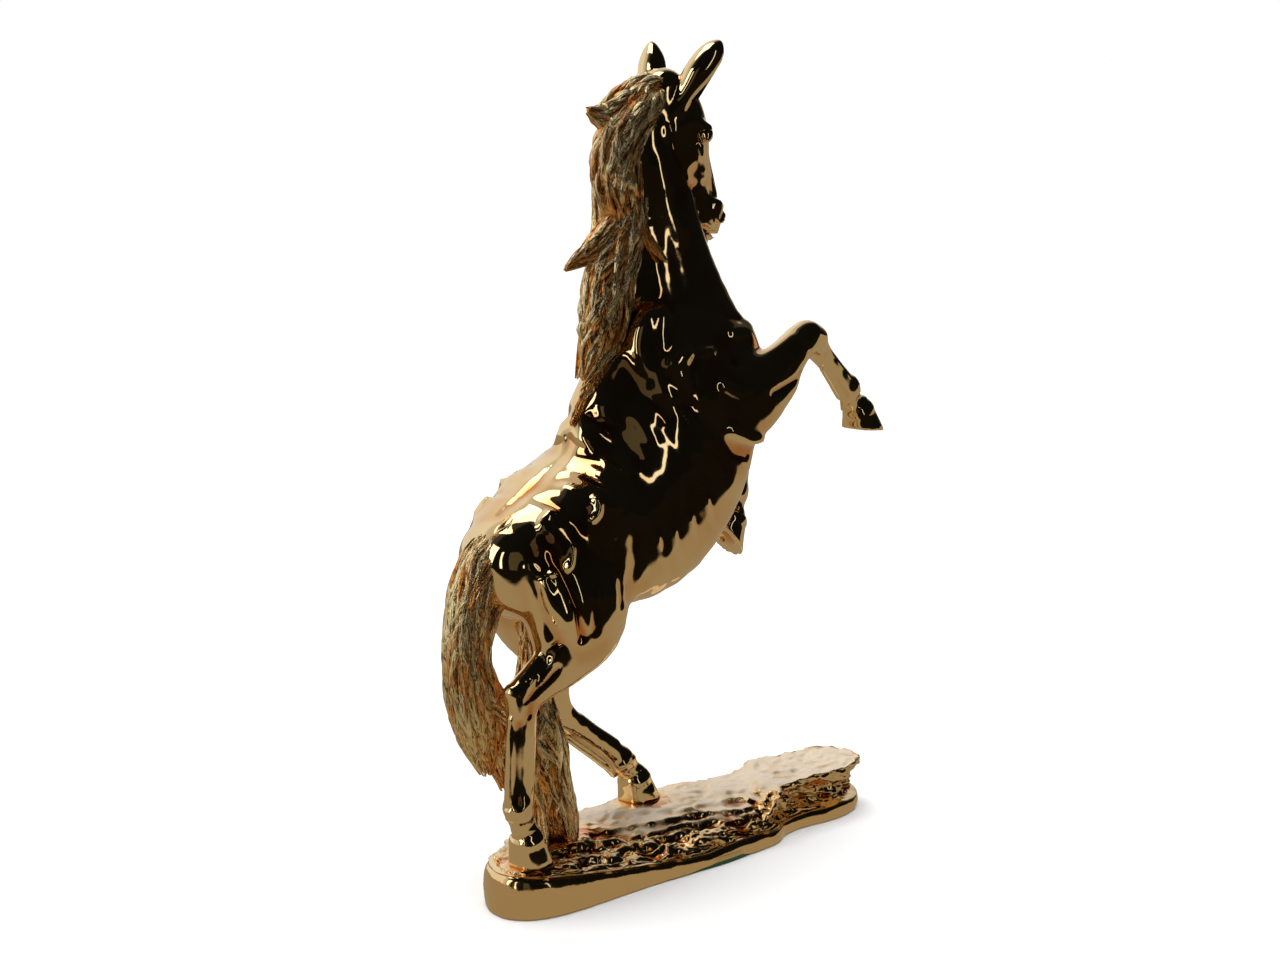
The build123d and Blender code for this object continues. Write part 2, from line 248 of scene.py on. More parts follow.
def skinOf(grid, field):
    # The zero surface as quads: one point in each cell that it crosses, at the mean of the cell's
    # crossed edges, one quad round each crossed edge, then each point moved down the slope onto it.
    inside = field < 0
    corners = [inside[a:a - 1 or None, b:b - 1 or None, c:c - 1 or None]
               for a in (0, 1) for b in (0, 1) for c in (0, 1)]
    full, some = corners[0].copy(), corners[0].copy()
    for c in corners[1:]:
        full &= c
        some |= c
    cells = np.argwhere(some & ~full)
    index = np.full(some.shape, -1, np.int64)
    index[tuple(cells.T)] = np.arange(len(cells))
    total, count = np.zeros((len(cells), 3)), np.zeros(len(cells))
    for axis in range(3):
        others = [k for k in range(3) if k != axis]
        for i in (0, 1):
            for j in (0, 1):
                near = cells.copy()
                near[:, others[0]] += i
                near[:, others[1]] += j
                far = near.copy()
                far[:, axis] += 1
                v0, v1 = field[tuple(near.T)], field[tuple(far.T)]
                crossed = (v0 < 0) != (v1 < 0)
                t = np.where(crossed, v0 / np.where(crossed, v0 - v1, 1), 0)
                point = near.astype(float)
                point[:, axis] += t
                total += point * crossed[:, None]
                count += crossed
    points = grid["low"] + grid["step"] * total / count[:, None]
    quads = []
    for axis in range(3):
        first, second = (axis + 1) % 3, (axis + 2) % 3
        low = [slice(None)] * 3
        low[axis] = slice(0, -1)
        high = [slice(None)] * 3
        high[axis] = slice(1, None)
        a, b = inside[tuple(low)], inside[tuple(high)]
        edges = np.argwhere(a != b)
        keep = (edges[:, first] > 0) & (edges[:, second] > 0)
        keep &= (edges[:, first] < some.shape[first]) & (edges[:, second] < some.shape[second])
        edges = edges[keep]
        ring = []
        for i, j in ((-1, -1), (0, -1), (0, 0), (-1, 0)):
            cell = edges.copy()
            cell[:, first] += i
            cell[:, second] += j
            ring.append(index[tuple(cell.T)])
        ring = np.stack(ring, axis=1)
        outward = a[tuple(edges.T)]
        quads.append(np.where(outward[:, None], ring, ring[:, ::-1]))
    slope = np.stack(np.gradient(field, grid["step"]), axis=-1)
    for _ in range(3):
        g = sample(grid, slope, points)
        move = sample(grid, field, points)[:, None] * g / np.maximum((g * g).sum(1), 0.05)[:, None]
        points = points - np.clip(move, -0.7 * grid["step"], 0.7 * grid["step"])
    g = sample(grid, slope, points)
    normals = g / np.maximum(np.linalg.norm(g, axis=1), 1e-6)[:, None]
    # small waves in the cast skin, and the normals turned to suit them
    here = waves(points)
    rise = np.stack([waves(points + 0.3 * step) - here for step in np.eye(3)], axis=1) / 0.3
    normals = normals - rise + normals * (rise * normals).sum(1)[:, None]
    normals /= np.linalg.norm(normals, axis=1)[:, None]
    return points + normals * here[:, None], np.concatenate(quads), normals


def waves(points):
    x, y, z = points.T
    return figureLook["waves"] * (noise(x / 13, y / 13, z / 13, 71) + 0.3 * noise(x / 5, y / 5, z / 5, 72))


# each station is (x, y, height, half width across, half depth)
castings = {
    "body": [(-81, 0, 123, 15, 13), (-73, 0, 123, 24, 23), (-57, 0, 125, 28.5, 29), (-37, 0, 131, 30.5, 33),
             (-10, 0, 139, 32, 39), (8, 0, 157, 32, 41), (16, 0, 180, 29, 41), (19, 0, 201, 22.5, 36),
             (18, 0, 219, 16.5, 30), (14, 0, 238, 13, 23), (11, 0, 258, 11.2, 18.5),
             (7, 0, 278, 10.5, 15.5), (5, 0, 296, 9.6, 13), (8, 0, 310, 8.6, 11)],
    "head": [(13, 0, 314, 10, 10), (18, 0, 306, 11.5, 14), (22, 0, 294, 11.5, 15), (27, 0, 281, 8.6, 11.5),
             (32, 0, 269, 6.6, 8.4), (36, 0, 260, 6.8, 7.6), (38.5, 0, 254, 5, 5.5)],
    "rightHind": [(-58, -15, 128, 11, 20), (-57, -20, 113, 13.5, 24), (-55, -22.5, 98, 12, 19.5),
                  (-64, -22, 86, 8.6, 12.5), (-78, -21, 77, 6.2, 8.6), (-87, -20, 71, 5.6, 8.2),
                  (-89, -20, 56, 4.4, 5.4), (-90, -20, 38, 4.2, 5), (-90.5, -20, 26, 5.2, 6),
                  (-88, -20, 17, 4.6, 5.2), (-86, -20, 12, 6, 6.6)],
    "leftHind": [(-54, 15, 128, 11, 20), (-48, 19.5, 111, 13.5, 24), (-42, 21, 93, 12, 20),
                 (-38, 19, 78, 8.6, 13), (-37, 17, 64, 6.2, 8.6), (-36, 16, 51, 5.6, 7.8),
                 (-27, 15, 42, 4.6, 5.6), (-10, 14, 29, 4.2, 5), (1, 14, 20, 5.2, 6),
                 (7, 13, 14, 4.6, 5.2), (10, 13, 10, 6, 6.6)],
    "rightFore": [(30, -17, 180, 11, 20), (42, -21, 182, 12, 19), (55, -24, 187, 8.4, 12.5),
                  (66, -24.5, 196, 7, 9.4), (77, -23.5, 203, 6.6, 8), (85, -22.5, 202, 5.8, 7),
                  (94, -20.5, 195, 4.4, 5.2), (104, -19, 187, 4.1, 4.7), (115, -17, 177.5, 4.8, 5.6),
                  (122, -15.5, 169.5, 4.1, 4.6), (125, -15, 166, 5.6, 6)],
    "leftFore": [(30, 15, 178, 11, 20), (42, 20, 176, 12, 18), (54, 22.5, 174, 9.4, 12.5),
                 (67, 22, 176, 8, 9.6), (78, 21, 175, 6.6, 7.6), (85, 20, 168, 6, 6.6),
                 (84, 19, 155, 4.2, 4.8), (82, 18, 142, 4.2, 4.8), (79, 17, 130, 4.8, 5.6),
                 (77, 16.5, 122, 4.2, 4.6), (75, 16, 118, 5.6, 6)],
}
# each bar is (start, end, widths, depths, blend), and the last item says whether the other side has it too
muscles = [
    ((-64, 13, 133), (-43, 14, 145), (14, 14), (15, 15), 10, True),         # rump
    ((-46, 22, 147), (-54, 21, 140), (6, 6), (7, 7), 8, True),              # point of hip
    ((2, 17, 198), (34, 19, 180), (10, 12), (14, 16), 10, True),            # triceps
    ((-8, 13, 212), (40, 15, 199), (6, 8), (13, 12), 10, True),             # shoulder blade
    ((46, 12, 208), (50, 12, 199), (8, 8), (8, 8), 7, True),                # point of shoulder
    ((48, 7, 198), (44, 8, 182), (8, 8), (10, 10), 7, True),                # breast
    ((30, 9, 166), (2, 9, 132), (13, 14), (12, 14), 10, True),              # behind the elbow
    ((-36, 21, 110), (-16, 22, 120), (6, 5), (7, 6), 8, True),              # flank fold
    ((9, 5.4, 284), (28, 8, 222), (4, 7), (6, 9), 9, True),                 # side of the neck
    ((14, 0, 276), (40, 0, 214), (5, 6), (5, 7), 6, False),                 # windpipe
    ((-16, 0, 232), (-8, 0, 300), (6, 4), (9, 7), 6, False),                # crest
    ((-28, 0, 171), (-14, 0, 196), (14, 12), (14, 13), 12, False),          # withers
    # right hind leg
    ((-79, -15, 124), (-73, -21, 92), (8, 6), (8, 7), 4, False),
    ((-54, -24, 112), (-70, -23, 84), (8, 5), (9, 6), 4, False),
    ((-72, -21, 92), (-92, -20, 76), (2.6, 2.4), (3.2, 2.8), 3, False),
    ((-93.5, -20, 75), (-91, -20, 68), (3.4, 3.2), (3.8, 3.2), 3, False),
    ((-94, -20, 64), (-95.5, -20, 30), (1.8, 2), (2.2, 2.4), 1.6, False),
    ((-84, -20, 62), (-86, -20, 30), (2.8, 2.8), (2.6, 2.6), 2.5, False),
    ((-91, -20, 26), (-90, -20, 24), (5.6, 5.2), (6, 5.6), 2, False),
    ((-95.5, -20, 24), (-96, -20, 22), (2.2, 1.4), (2.4, 1.6), 2, False),
    # left hind leg
    ((-66, 14, 122), (-52, 20, 92), (8, 6), (8, 7), 4, False),
    ((-36, 22, 108), (-36, 20, 78), (7, 5), (8, 6), 4, False),
    ((-50, 19, 88), (-43, 16, 54), (2.6, 2.4), (3.2, 2.8), 3, False),
    ((-42.5, 16, 51), (-36, 15.5, 44), (3.4, 3.2), (3.8, 3.2), 3, False),
    ((-30, 15, 37), (-4, 14, 17), (1.8, 2), (2.2, 2.4), 1.6, False),
    ((-23, 15, 43), (-3, 14, 28), (2.8, 2.8), (2.6, 2.6), 2.5, False),
    ((1, 14, 20), (2.5, 14, 18.5), (5.6, 5.2), (6, 5.6), 2, False),
    ((-2.5, 14, 15.5), (-2.6, 13.8, 13.8), (2.2, 1.4), (2.4, 1.6), 2, False),
    # right foreleg
    ((44, -25, 190), (68, -26, 201), (5, 4.4), (8, 6), 5, False),
    ((38, -25, 176), (64, -25, 187), (8, 4.4), (11.5, 5.4), 5, False),
    ((80, -24, 205.5), (86, -23, 203), (6.2, 5.6), (6.4, 5.8), 2.5, False),
    ((95, -21, 189), (111, -17.5, 174), (1.8, 2), (2.2, 2.4), 1.6, False),
    ((116, -17, 178), (117, -17, 177), (5, 5), (5.6, 5.4), 2, False),
    ((114, -17, 171), (113, -16.5, 167), (2, 0.9), (2.2, 1), 1.8, False),
    # left foreleg
    ((44, 24, 182), (68, 24, 182), (6, 4), (8, 5), 3.5, False),
    ((48, 21, 166), (68, 21, 169), (6, 4), (6, 4), 3.5, False),
    ((84, 20.5, 174), (86, 20, 166), (5.6, 5.2), (5.4, 5.2), 2, False),
    ((79, 18.5, 158), (76, 17, 132), (1.8, 2), (2.2, 2.4), 1.6, False),
    ((79, 17, 130), (79, 17, 129), (5, 5), (5.6, 5.4), 2, False),
    ((73, 16.5, 127), (70, 16.5, 126), (2, 0.9), (2.2, 1), 1.8, False),
    # head
    ((21, 9.2, 302), (30, 10, 297.5), (2.8, 2.6), (3.2, 2.8), 2, True),     # brow
    ((25, 11, 291), (31, 8, 277), (1.6, 1.2), (2, 1.6), 2.4, True),         # cheekbone
    ((13, 6.8, 298), (18, 6.4, 284), (4, 3.6), (9.4, 7.4), 2.4, True),      # jaw
    ((13, 3.6, 288), (29, 3, 262), (3, 2.4), (4.4, 3.4), 3, True),
    ((31, 0, 300), (42.5, 0, 268), (5.4, 4), (3, 2.6), 3.5, False),         # bridge of the nose
    ((40.5, 4.8, 264), (43, 4.6, 259), (2.6, 3), (3.4, 3.2), 2, True),      # nostrils
    ((43, 0, 256), (42, 0, 252.5), (5, 4.6), (4, 3.4), 2, False),           # upper lip
    ((34, 0, 254), (36, 0, 249), (4, 4), (3.4, 3.2), 1.6, False),           # lower lip and chin
]
hollows = [
    ((28.5, 14.2, 295), (29.5, 14, 294), (3, 3), (4.2, 4.2), 2, True),      # eye sockets
    ((45.5, 7.4, 261), (43.5, 7.8, 258), (1.5, 1.5), (1.9, 2), 0.8, True),  # nostrils
    ((44, 0, 250), (35, 0, 255), (7, 7), (1, 0.8), 0.7, False),             # mouth
    ((22, 0, 318), (30, 0, 310), (2.6, 2.6), (2, 2), 4, False),             # forehead
]
# each stroke is (points, width, height, whether the other side has it too)
strokes = [
    ([(-80, 0, 143), (-62, 0, 155), (-48, 0, 165), (-34, 0, 178)], 3, -0.9, False),
    ([(-46, 30, 170), (-38, 33, 148), (-32, 33, 124), (-36, 32, 108)], 3.6, -2, True),
    ([(-78, 24, 138), (-72, 30, 118), (-66, 32, 96)], 2.6, -1.8, True),
    ([(-64, 28, 152), (-62, 32, 136), (-60, 36, 116), (-60, 35, 98)], 2.4, -1.3, True),
    ([(-57, 28, 157), (-54, 31, 147), (-66, 31, 138), (-71, 31, 126), (-82, 28, 123), (-80, 28, 112),
      (-74, 30, 104)], 2.6, 2.1, True),
    ([(-84, 21, 127), (-80, 26, 118), (-72, 30, 107)], 2.2, 1.1, True),
    ([(-78, 18, 154), (-71, 20, 150), (-76, 20, 143), (-72, 22, 137), (-79, 21, 130)], 2.5, 1.8, True),
    ([(-66, 24, 154), (-59, 29, 145), (-66, 30, 137)], 2.6, -1, True),
    ([(-44, 33, 132), (-43, 34, 120), (-44, 33, 106)], 2.2, -1.1, True),
    ([(-8, 26, 196), (6, 32, 178), (22, 33, 164), (38, 28, 158)], 3.2, -1.4, True),
    ([(-6, 26, 203), (6, 28, 206), (18, 28, 206)], 3, 1.6, True),
    ([(34, 23, 211), (44, 20, 210), (51, 16, 204)], 2.6, 1.6, True),
    ([(30, 26, 198), (42, 25, 194), (52, 20, 190)], 2.6, -1.1, True),
    ([(28, 20, 222), (40, 18, 216), (50, 14, 214)], 2.2, -0.7, True),
    ([(24, 33, 170), (34, 34, 164), (44, 32, 163)], 3, 1.6, True),
    ([(57, 0, 210), (55, 0, 192), (48, 0, 172)], 2.4, -2, False),
    ([(25, 9, 272), (36, 11, 246), (48, 11, 222)], 2.2, -1.3, True),
    # dips and swellings beside the spine, where the light breaks up
    *[([(x - 4, 7, h + 7), (x + 1, 17, h), (x + 5, 24, h - 9)], 3.4, height, True)
      for x, h, height in ((-14, 187, -1.3), (-22, 180, 1.2), (-31, 173, -1.5), (-40, 166, 1.2),
                           (-50, 161, -1.6), (-60, 156, 1.2), (-68, 149, -1.2))],
    ([(-6, 10, 262), (-4, 13, 244), (-2, 17, 226), (-8, 20, 208)], 2.6, 1.7, True),
    ([(-1, 11, 258), (2, 14, 240), (3, 18, 224)], 2.4, -0.9, True),
    ([(12, 27, 214), (4, 28, 200), (2, 31, 184)], 3, -0.9, True),
    ([(20, 31, 190), (30, 31, 186), (38, 29, 190)], 2.6, 1.6, True),
    # ribs, and folds where they end
    *[([(x, 26, h + 24), (x + 6, 34, h + 4), (x + 15, 30, h - 18)], 2.4, -0.35, True)
      for x, h in ((-32, 144), (-23, 149), (-13, 154), (-4, 160), (6, 168))],
    *[([(x, 32, h), (x + 4 + x / 20, 29, h - 9), (x + 9, 24, h - 17)], 1.9, 0.75, True)
      for x, h in ((-30, 127), (-21, 130), (-12, 131), (-2, 136), (8, 142))],
    # folds over the hocks
    ([(-74, -26, 94), (-84, -26, 88), (-95, -22, 80)], 1.3, -1.1, False),
    ([(-73, -27, 90), (-83, -27, 83), (-93, -23, 76)], 1.3, 0.9, False),
    ([(-72, -27, 86), (-80, -27, 79), (-90, -25, 72)], 1.2, -1, False),
    ([(-84, -24, 97), (-90, -22, 92), (-95, -18, 84)], 1.2, 0.7, False),
    ([(-48, 13, 66), (-44, 10, 56), (-36, 8, 48)], 1.3, -0.9, False),
    ([(-40, 9, 68), (-38, 8, 58), (-30, 8, 46)], 1.3, 0.8, False),
    # tendons of the hind cannons and hocks
    ([(-93, -23.5, 62), (-94, -23.5, 46), (-94.5, -23.5, 28)], 1.5, -1.3, False),
    ([(-92, -15, 68), (-93, -15, 50), (-94, -14.5, 32)], 1.1, -0.8, False),
    ([(-80, -27, 86), (-87, -26, 76), (-88, -25, 66)], 1.6, -0.9, False),
    ([(-30, 20, 39), (-16, 19, 29), (-4, 19, 20)], 1.1, -0.8, False),
    ([(-30, 10, 39), (-16, 9.5, 29), (-4, 9, 20)], 1.1, -0.8, False),
    ([(-44, 21, 66), (-40, 21, 54), (-34, 20, 44)], 1.6, -0.9, False),
    # tendons of the fore cannons and grooves of the forearms
    ([(96, -26, 192), (104, -23, 182), (112, -21, 174)], 1.1, -0.8, False),
    ([(96, -17, 192), (104, -14.5, 182), (112, -13, 174)], 1.1, -0.8, False),
    ([(48, -33, 184), (64, -32, 188), (80, -29, 196)], 1.6, -1, False),
    ([(82, 24, 158), (80, 22.5, 144), (77.5, 21.5, 132)], 1.1, -0.8, False),
    ([(82, 15, 158), (80, 13.5, 144), (77.5, 12.5, 132)], 1.1, -0.8, False),
    ([(48, 31, 178), (62, 30, 178), (76, 28, 176)], 1.6, -1, False),
    # face
    ([(25, 13.6, 297), (28.6, 14.6, 299), (32, 13, 296.5)], 0.9, 0.8, True),
    ([(25.5, 13.8, 293), (29, 14.6, 291.4), (32, 13, 293.5)], 0.8, 0.6, True),
    ([(8, 9.4, 300), (10, 10.4, 288), (18, 9.8, 276), (25, 8, 272)], 1.4, -0.8, True),
    ([(27, 11, 284), (32, 9, 274), (37, 7.4, 266)], 1.3, -0.7, True),
    ([(42, 7.2, 266), (46, 6.6, 262), (46, 6.4, 257), (42.5, 7.4, 256)], 0.9, 0.7, True),
    ([(43, 6, 253), (38, 7.4, 255), (33, 7.2, 258), (30, 6.6, 261)], 0.7, -1.2, True),
    ([(37, 6, 248), (34, 6.4, 252)], 1.2, 0.5, True),
]
# each ear is (stations, hollow's stations)
ears = [
    ([(12, -8, 306, 3.6, 3.6), (16, -10, 313, 4.2, 3.8), (21, -12.5, 321.5, 5.8, 5.4),
      (27, -15, 329.5, 5.6, 5), (30.5, -16.5, 334, 2.6, 2.2)],
     [(19, -10.5, 312, 1, 1), (25.4, -12.5, 318.6, 3, 2.4), (31, -15, 327, 2.8, 2.2)]),
    ([(14, 8, 307, 3.6, 3.6), (16, 9.6, 315, 6, 4.8), (18.5, 11.4, 324, 6.2, 5),
      (20.5, 13.4, 331, 3.4, 3), (21.2, 14.4, 334.6, 1, 1)],
     [(21, 10, 313, 1, 1), (23.4, 12, 321, 3.4, 2.2), (24, 14, 328, 1.6, 1.4)]),
]
# each hoof is (coronet's middle, sole's middle, sole's outward direction, whether it stands)
hooves = {
    "rightHind": ((-86, -20, 11), (-83.5, -20, -0.5), (0, 0, -1), True),
    "leftHind": ((9.5, 13, 10), (12.5, 13, -0.5), (0, 0, -1), True),
    "rightFore": ((126, -15, 166), (130, -14, 156), (-0.1, 0, -1), False),
    "leftFore": ((75, 16, 118), (70.5, 16, 109), (-0.8, 0, -0.6), False),
}
figureLook = {
    "voxel": 0.95,         # the grid's step, in the figure's millimetres
    "blend": 6.0,          # how softly each limb grows out of the body
    "waves": 0.32,         # height of the small waves in the skin
    "hoofRadius": 8.6, "coronetRadius": 6.4, "coronetLip": 0.9,
    "pasternFolds": ((3.2, 5.2, -0.8), (7.5, 5.6, -0.7), (11, 5.8, 0.6)),
}


def addHoof(grid, field, hoof):
    # A cone from the coronet to the sole, cut flat there, with a raised coronet and a hollow sole.
    coronet, sole, outward, stands = hoof
    coronet, sole = np.array(coronet, float), np.array(sole, float)
    outward = np.array(outward, float) / np.linalg.norm(outward)
    low, high = np.minimum(coronet, sole) - 16, np.maximum(coronet, sole) + 16
    found = window(grid, low, high)
    if found is None:
        return
    slices, coords = found
    r0, r1 = figureLook["coronetRadius"], figureLook["hoofRadius"]
    past = sole + (sole - coronet) * 0.6
    wall = ovalBar(coords, coronet, past, (r0, r1 + 1), (r0 * 1.06, r1 * 1.22), np.array([0, 1.0, 0]))
    below = sum((c - np.float32(s)) * np.float32(v) for c, s, v in zip(coords, sole, outward))
    made = np.maximum(wall, below)
    if not stands:
        cup = ovalBar(coords, sole + outward * 4, sole + outward * 4.01, (r1 * 0.7,) * 2,
                      (r1 * 0.8,) * 2, np.array([0, 1.0, 0]))
        made = carveOut(made, cup, 0.8)
    field[slices] = blendIn(field[slices], made, 1.0)
    axis = (sole - coronet) / np.linalg.norm(sole - coronet)
    lean = np.array([-axis[2], 0, axis[0]]) * 0.35
    side = np.array([0, 1.0, 0]) - axis * axis[1]
    side /= np.linalg.norm(side)
    deep = np.cross(axis, side)
    turn = np.linspace(0, 2 * np.pi, 17)[:, None]
    circle = np.cos(turn) * side + np.sin(turn) * deep * 1.08
    addStroke(grid, field, coronet + axis * 0.6 + circle * r0, 1.0, figureLook["coronetLip"], mirrored=False)
    for back, size, height in figureLook["pasternFolds"]:
        centre = coronet - axis * back - lean * back * (1 if stands else -0.3)
        addStroke(grid, field, centre + circle * size, 0.9, height, mirrored=False)


def makeFigureField(grid):
    # The whole figure's field, and each limb's own field, by which its skin is shared out.
    own = {name: addChain(grid, rows, 7 if name == "body" else 3) for name, rows in castings.items()}
    field = own["body"]
    for name in ("rightHind", "leftHind", "rightFore", "leftFore", "head"):
        field = blendIn(field, own[name], figureLook["blend"] if name != "head" else 3.5)
    for *bar, mirrored in muscles:
        addBar(grid, field, bar, mirrored)
    for *bar, mirrored in hollows:
        addBar(grid, field, bar, mirrored, carve=True)
    for y in (1, -1):          # eyeballs
        addBar(grid, field, ((28.4, 11.6 * y, 295), (28.5, 11.6 * y, 294.9), (2.6, 2.6), (3, 3), 0.3), False)
    for rows, hollow in ears:
        field = blendIn(field, addChain(grid, rows, 2), 2)
        field = carveOut(field, addChain(grid, hollow, 2), 0.8)
    for hoof in hooves.values():
        addHoof(grid, field, hoof)
    for points, width, height, mirrored in strokes:
        addStroke(grid, field, points, width, height, mirrored)
    return field, own


def shareOut(grid, own, points):
    # Which casting each point belongs to: the limb whose own field is lowest, and the body's skin
    # is the neck's above the seam and the torso's below it.
    names = list(own)
    values = np.stack([sample(grid, own[n], points) for n in names])
    nearest = np.array(names)[values.argmin(axis=0)]
    seam = np.array(castings["body"][7][:3], float)
    up = np.array(castings["body"][8][:3], float) - np.array(castings["body"][6][:3], float)
    above = (points - seam) @ up > 0
    return np.where(nearest == "body", np.where(above, "neck", "torso"), nearest)


def neighbours(quads, owner):
    # For each directed edge of each quad, the edge and the owner of the quad on its other side.
    edges = np.stack([quads, np.roll(quads, -1, axis=1)], axis=2).reshape(-1, 2)
    face = np.repeat(np.arange(len(quads)), 4)
    low, high = edges.min(axis=1), edges.max(axis=1)
    order = np.lexsort((high, low))
    order = order[:len(order) // 2 * 2].reshape(-1, 2)
    across = np.empty(len(edges), owner.dtype)
    across[order[:, 0]] = owner[face[order[:, 1]]]
    across[order[:, 1]] = owner[face[order[:, 0]]]
    return edges, face, across


def makeMesh(name, points, faces, normals=None, attributes=None):
    mesh = bpy.data.meshes.new(name)
    mesh.from_pydata(points.tolist(), [], faces)
    mesh.validate()
    mesh.shade_smooth()
    for key, values in (attributes or {}).items():
        mesh.attributes.new(key, "FLOAT", "POINT").data.foreach_set("value", values.astype(np.float32))
    if normals is not None:
        mesh.normals_split_custom_set_from_vertices(normals.tolist())
    made = bpy.data.objects.new(name, mesh)
    bpy.context.scene.collection.objects.link(made)
    return made


def makeCastings():
    step = figureLook["voxel"] * 1
    grid = makeGrid((-104, -42, -3), (142, 42, 339), step)
    field, own = makeFigureField(grid)
    points, quads, normals = skinOf(grid, field)
    # painted shade: high in the skin's hollows and creases, where the softened field is below zero; the tone group
    # turns it into the deep copper colour
    wide = soften(np.clip(field, -farAway, farAway), 10)
    paintedShade = np.clip(0.5 - 0.55 * sample(grid, wide, points), 0, 1)
    owner = shareOut(grid, own, points[quads].mean(axis=1))
    edges, face, across = neighbours(quads, owner)
    made = {}
    for casting in ("torso", "neck", "head", "rightHind", "leftHind", "rightFore", "leftFore"):
        used, inverse = np.unique(quads[owner == casting], return_inverse=True)
        faces = inverse.reshape(-1, 4).tolist()
        place, facing, depth = points[used], normals[used], paintedShade[used]
        loose = set()       # edges of the fans that only one fan has
        for other in np.unique(across[(owner[face] == casting) & (across != casting)]):
            rim = edges[(owner[face] == casting) & (across == other)]
            rim = np.searchsorted(used, rim)
            middle = place[np.unique(rim)].mean(axis=0)
            place = np.vstack([place, middle])
            facing = np.vstack([facing, (0, 0, 1)])
            depth = np.append(depth, 0)
            faces += [(int(b), int(a), len(place) - 1) for a, b in rim]
            for a, b in rim.tolist():
                for edge in ((a, len(place) - 1), (len(place) - 1, b)):
                    loose.symmetric_difference_update({edge} if edge[::-1] not in loose else {edge[::-1]})
        # where three castings meet, their fans leave a gap, which gets a face of its own
        follow = dict(loose)
        while follow:
            start, end = follow.popitem()
            loop = [start]
            while end != start:
                loop.append(end)
                end = follow.pop(end)
            faces.append(tuple(loop[::-1]))
        made[casting] = makeMesh(casting, toFrame(place), faces, facing, {"paintedShade": depth})
    print("castings:", {n: len(o.data.polygons) for n, o in made.items()})
    return made


# each bundle of hair is its stations (x, y, height, half width across, half depth) and its number of locks
maneBundles = [
    ([(12, -2, 316, 5, 5), (0, -2, 314, 7, 7), (-12, -2, 308.5, 7, 8), (-22, -1, 305, 5, 6),
      (-31, 0, 308, 1.4, 1.4)], 46),
    ([(4, -4, 312, 7, 8), (-9, -5, 304, 8, 9), (-19, -5, 290, 8, 11), (-19, -6, 277, 8, 11),
      (-15, -5, 264, 6.5, 8), (-15, -6, 252, 6, 7)], 90),
    ([(-10, -6, 272, 6, 7), (-15, -6, 256, 7, 9), (-22, -5, 240, 8, 12), (-25, -5, 227, 8, 13),
      (-27, -4, 214, 7, 11), (-31, -3, 203, 4, 7), (-34, -2, 196, 1.6, 3)], 110),
    ([(-10, -5, 266, 6, 7), (-20, -4, 258, 6, 7), (-32, -2, 249, 4.4, 5), (-44, 0, 243, 1.2, 1.2)], 36),
    ([(-12, -10.5, 262, 1.5, 2.5), (-8, -12.5, 254, 1.5, 3), (-2, -14, 247, 1.2, 2),
      (2, -14.6, 243, 0.5, 0.6)], 6),
    ([(-24, -2, 206, 5, 6), (-33, -2, 190, 3, 4), (-42, -1, 177, 1, 1.5)], 12),
    ([(14, 0, 318, 4, 4), (22, -1, 314, 4, 4), (27, -2, 305, 2, 2)], 8),
    ([(0, 4, 311, 5, 6), (-9, 5, 299, 5, 8), (-12, 5, 280, 6, 9), (-13, 5, 258, 6, 9),
      (-16, 5, 236, 6, 9), (-22, 4, 214, 6, 8), (-30, 3, 194, 3, 5)], 60),
]
tailBundles = [
    ([(-78, 0, 132, 6, 7), (-89, 0, 128, 9, 9), (-97, 0, 114, 9, 10), (-101, 0, 96, 8, 9.5),
      (-101, 0, 80, 8, 9.5), (-97, 0, 62, 9, 10), (-93, 0, 48, 7, 8), (-90, 0, 36, 3, 3.4)], 150),
    ([(-84, 0, 124, 6, 7), (-91, -1, 108, 6, 7), (-97, -1, 90, 6, 6.5), (-95, -2, 74, 7, 7.5),
      (-87, -1, 58, 8, 10), (-82, -1, 42, 6, 8), (-80, -1, 27, 2.6, 3.2)], 110),
    ([(-66, 6, 116, 3, 4), (-61, 5, 96, 3.5, 4.5), (-61, 4, 78, 5, 6), (-62, 3, 62, 7, 9),
      (-59, 2, 44, 9, 12), (-56, 1, 26, 9, 11), (-53, 0, 10, 9, 11), (-52, 0, -1, 10, 12)], 130),
    ([(-92, -4, 70, 5, 6), (-89, -9, 66, 4.5, 5.5), (-86, -14, 60, 4, 5), (-84, -14, 46, 3, 4),
      (-84, -12, 32, 2, 3)], 24),
    ([(-70, -5, 146, 2, 3), (-79, -5, 141, 4, 5), (-87, -4, 130, 6, 7), (-93, -3, 116, 6, 7)], 30),
]
hairLook = {
    "lockWidth": (0.7, 1.9), "lockThickness": (0.6, 1.15), "lockLength": (0.16, 0.42), "fullness": 1.9,
    "around": 6, "along": 12, "strands": 3, "strandDepth": 0.34, "wander": 0.42, "chisel": 0.16,
    "stations": 60, "coreSteps": 70, "coreAround": 60,
}


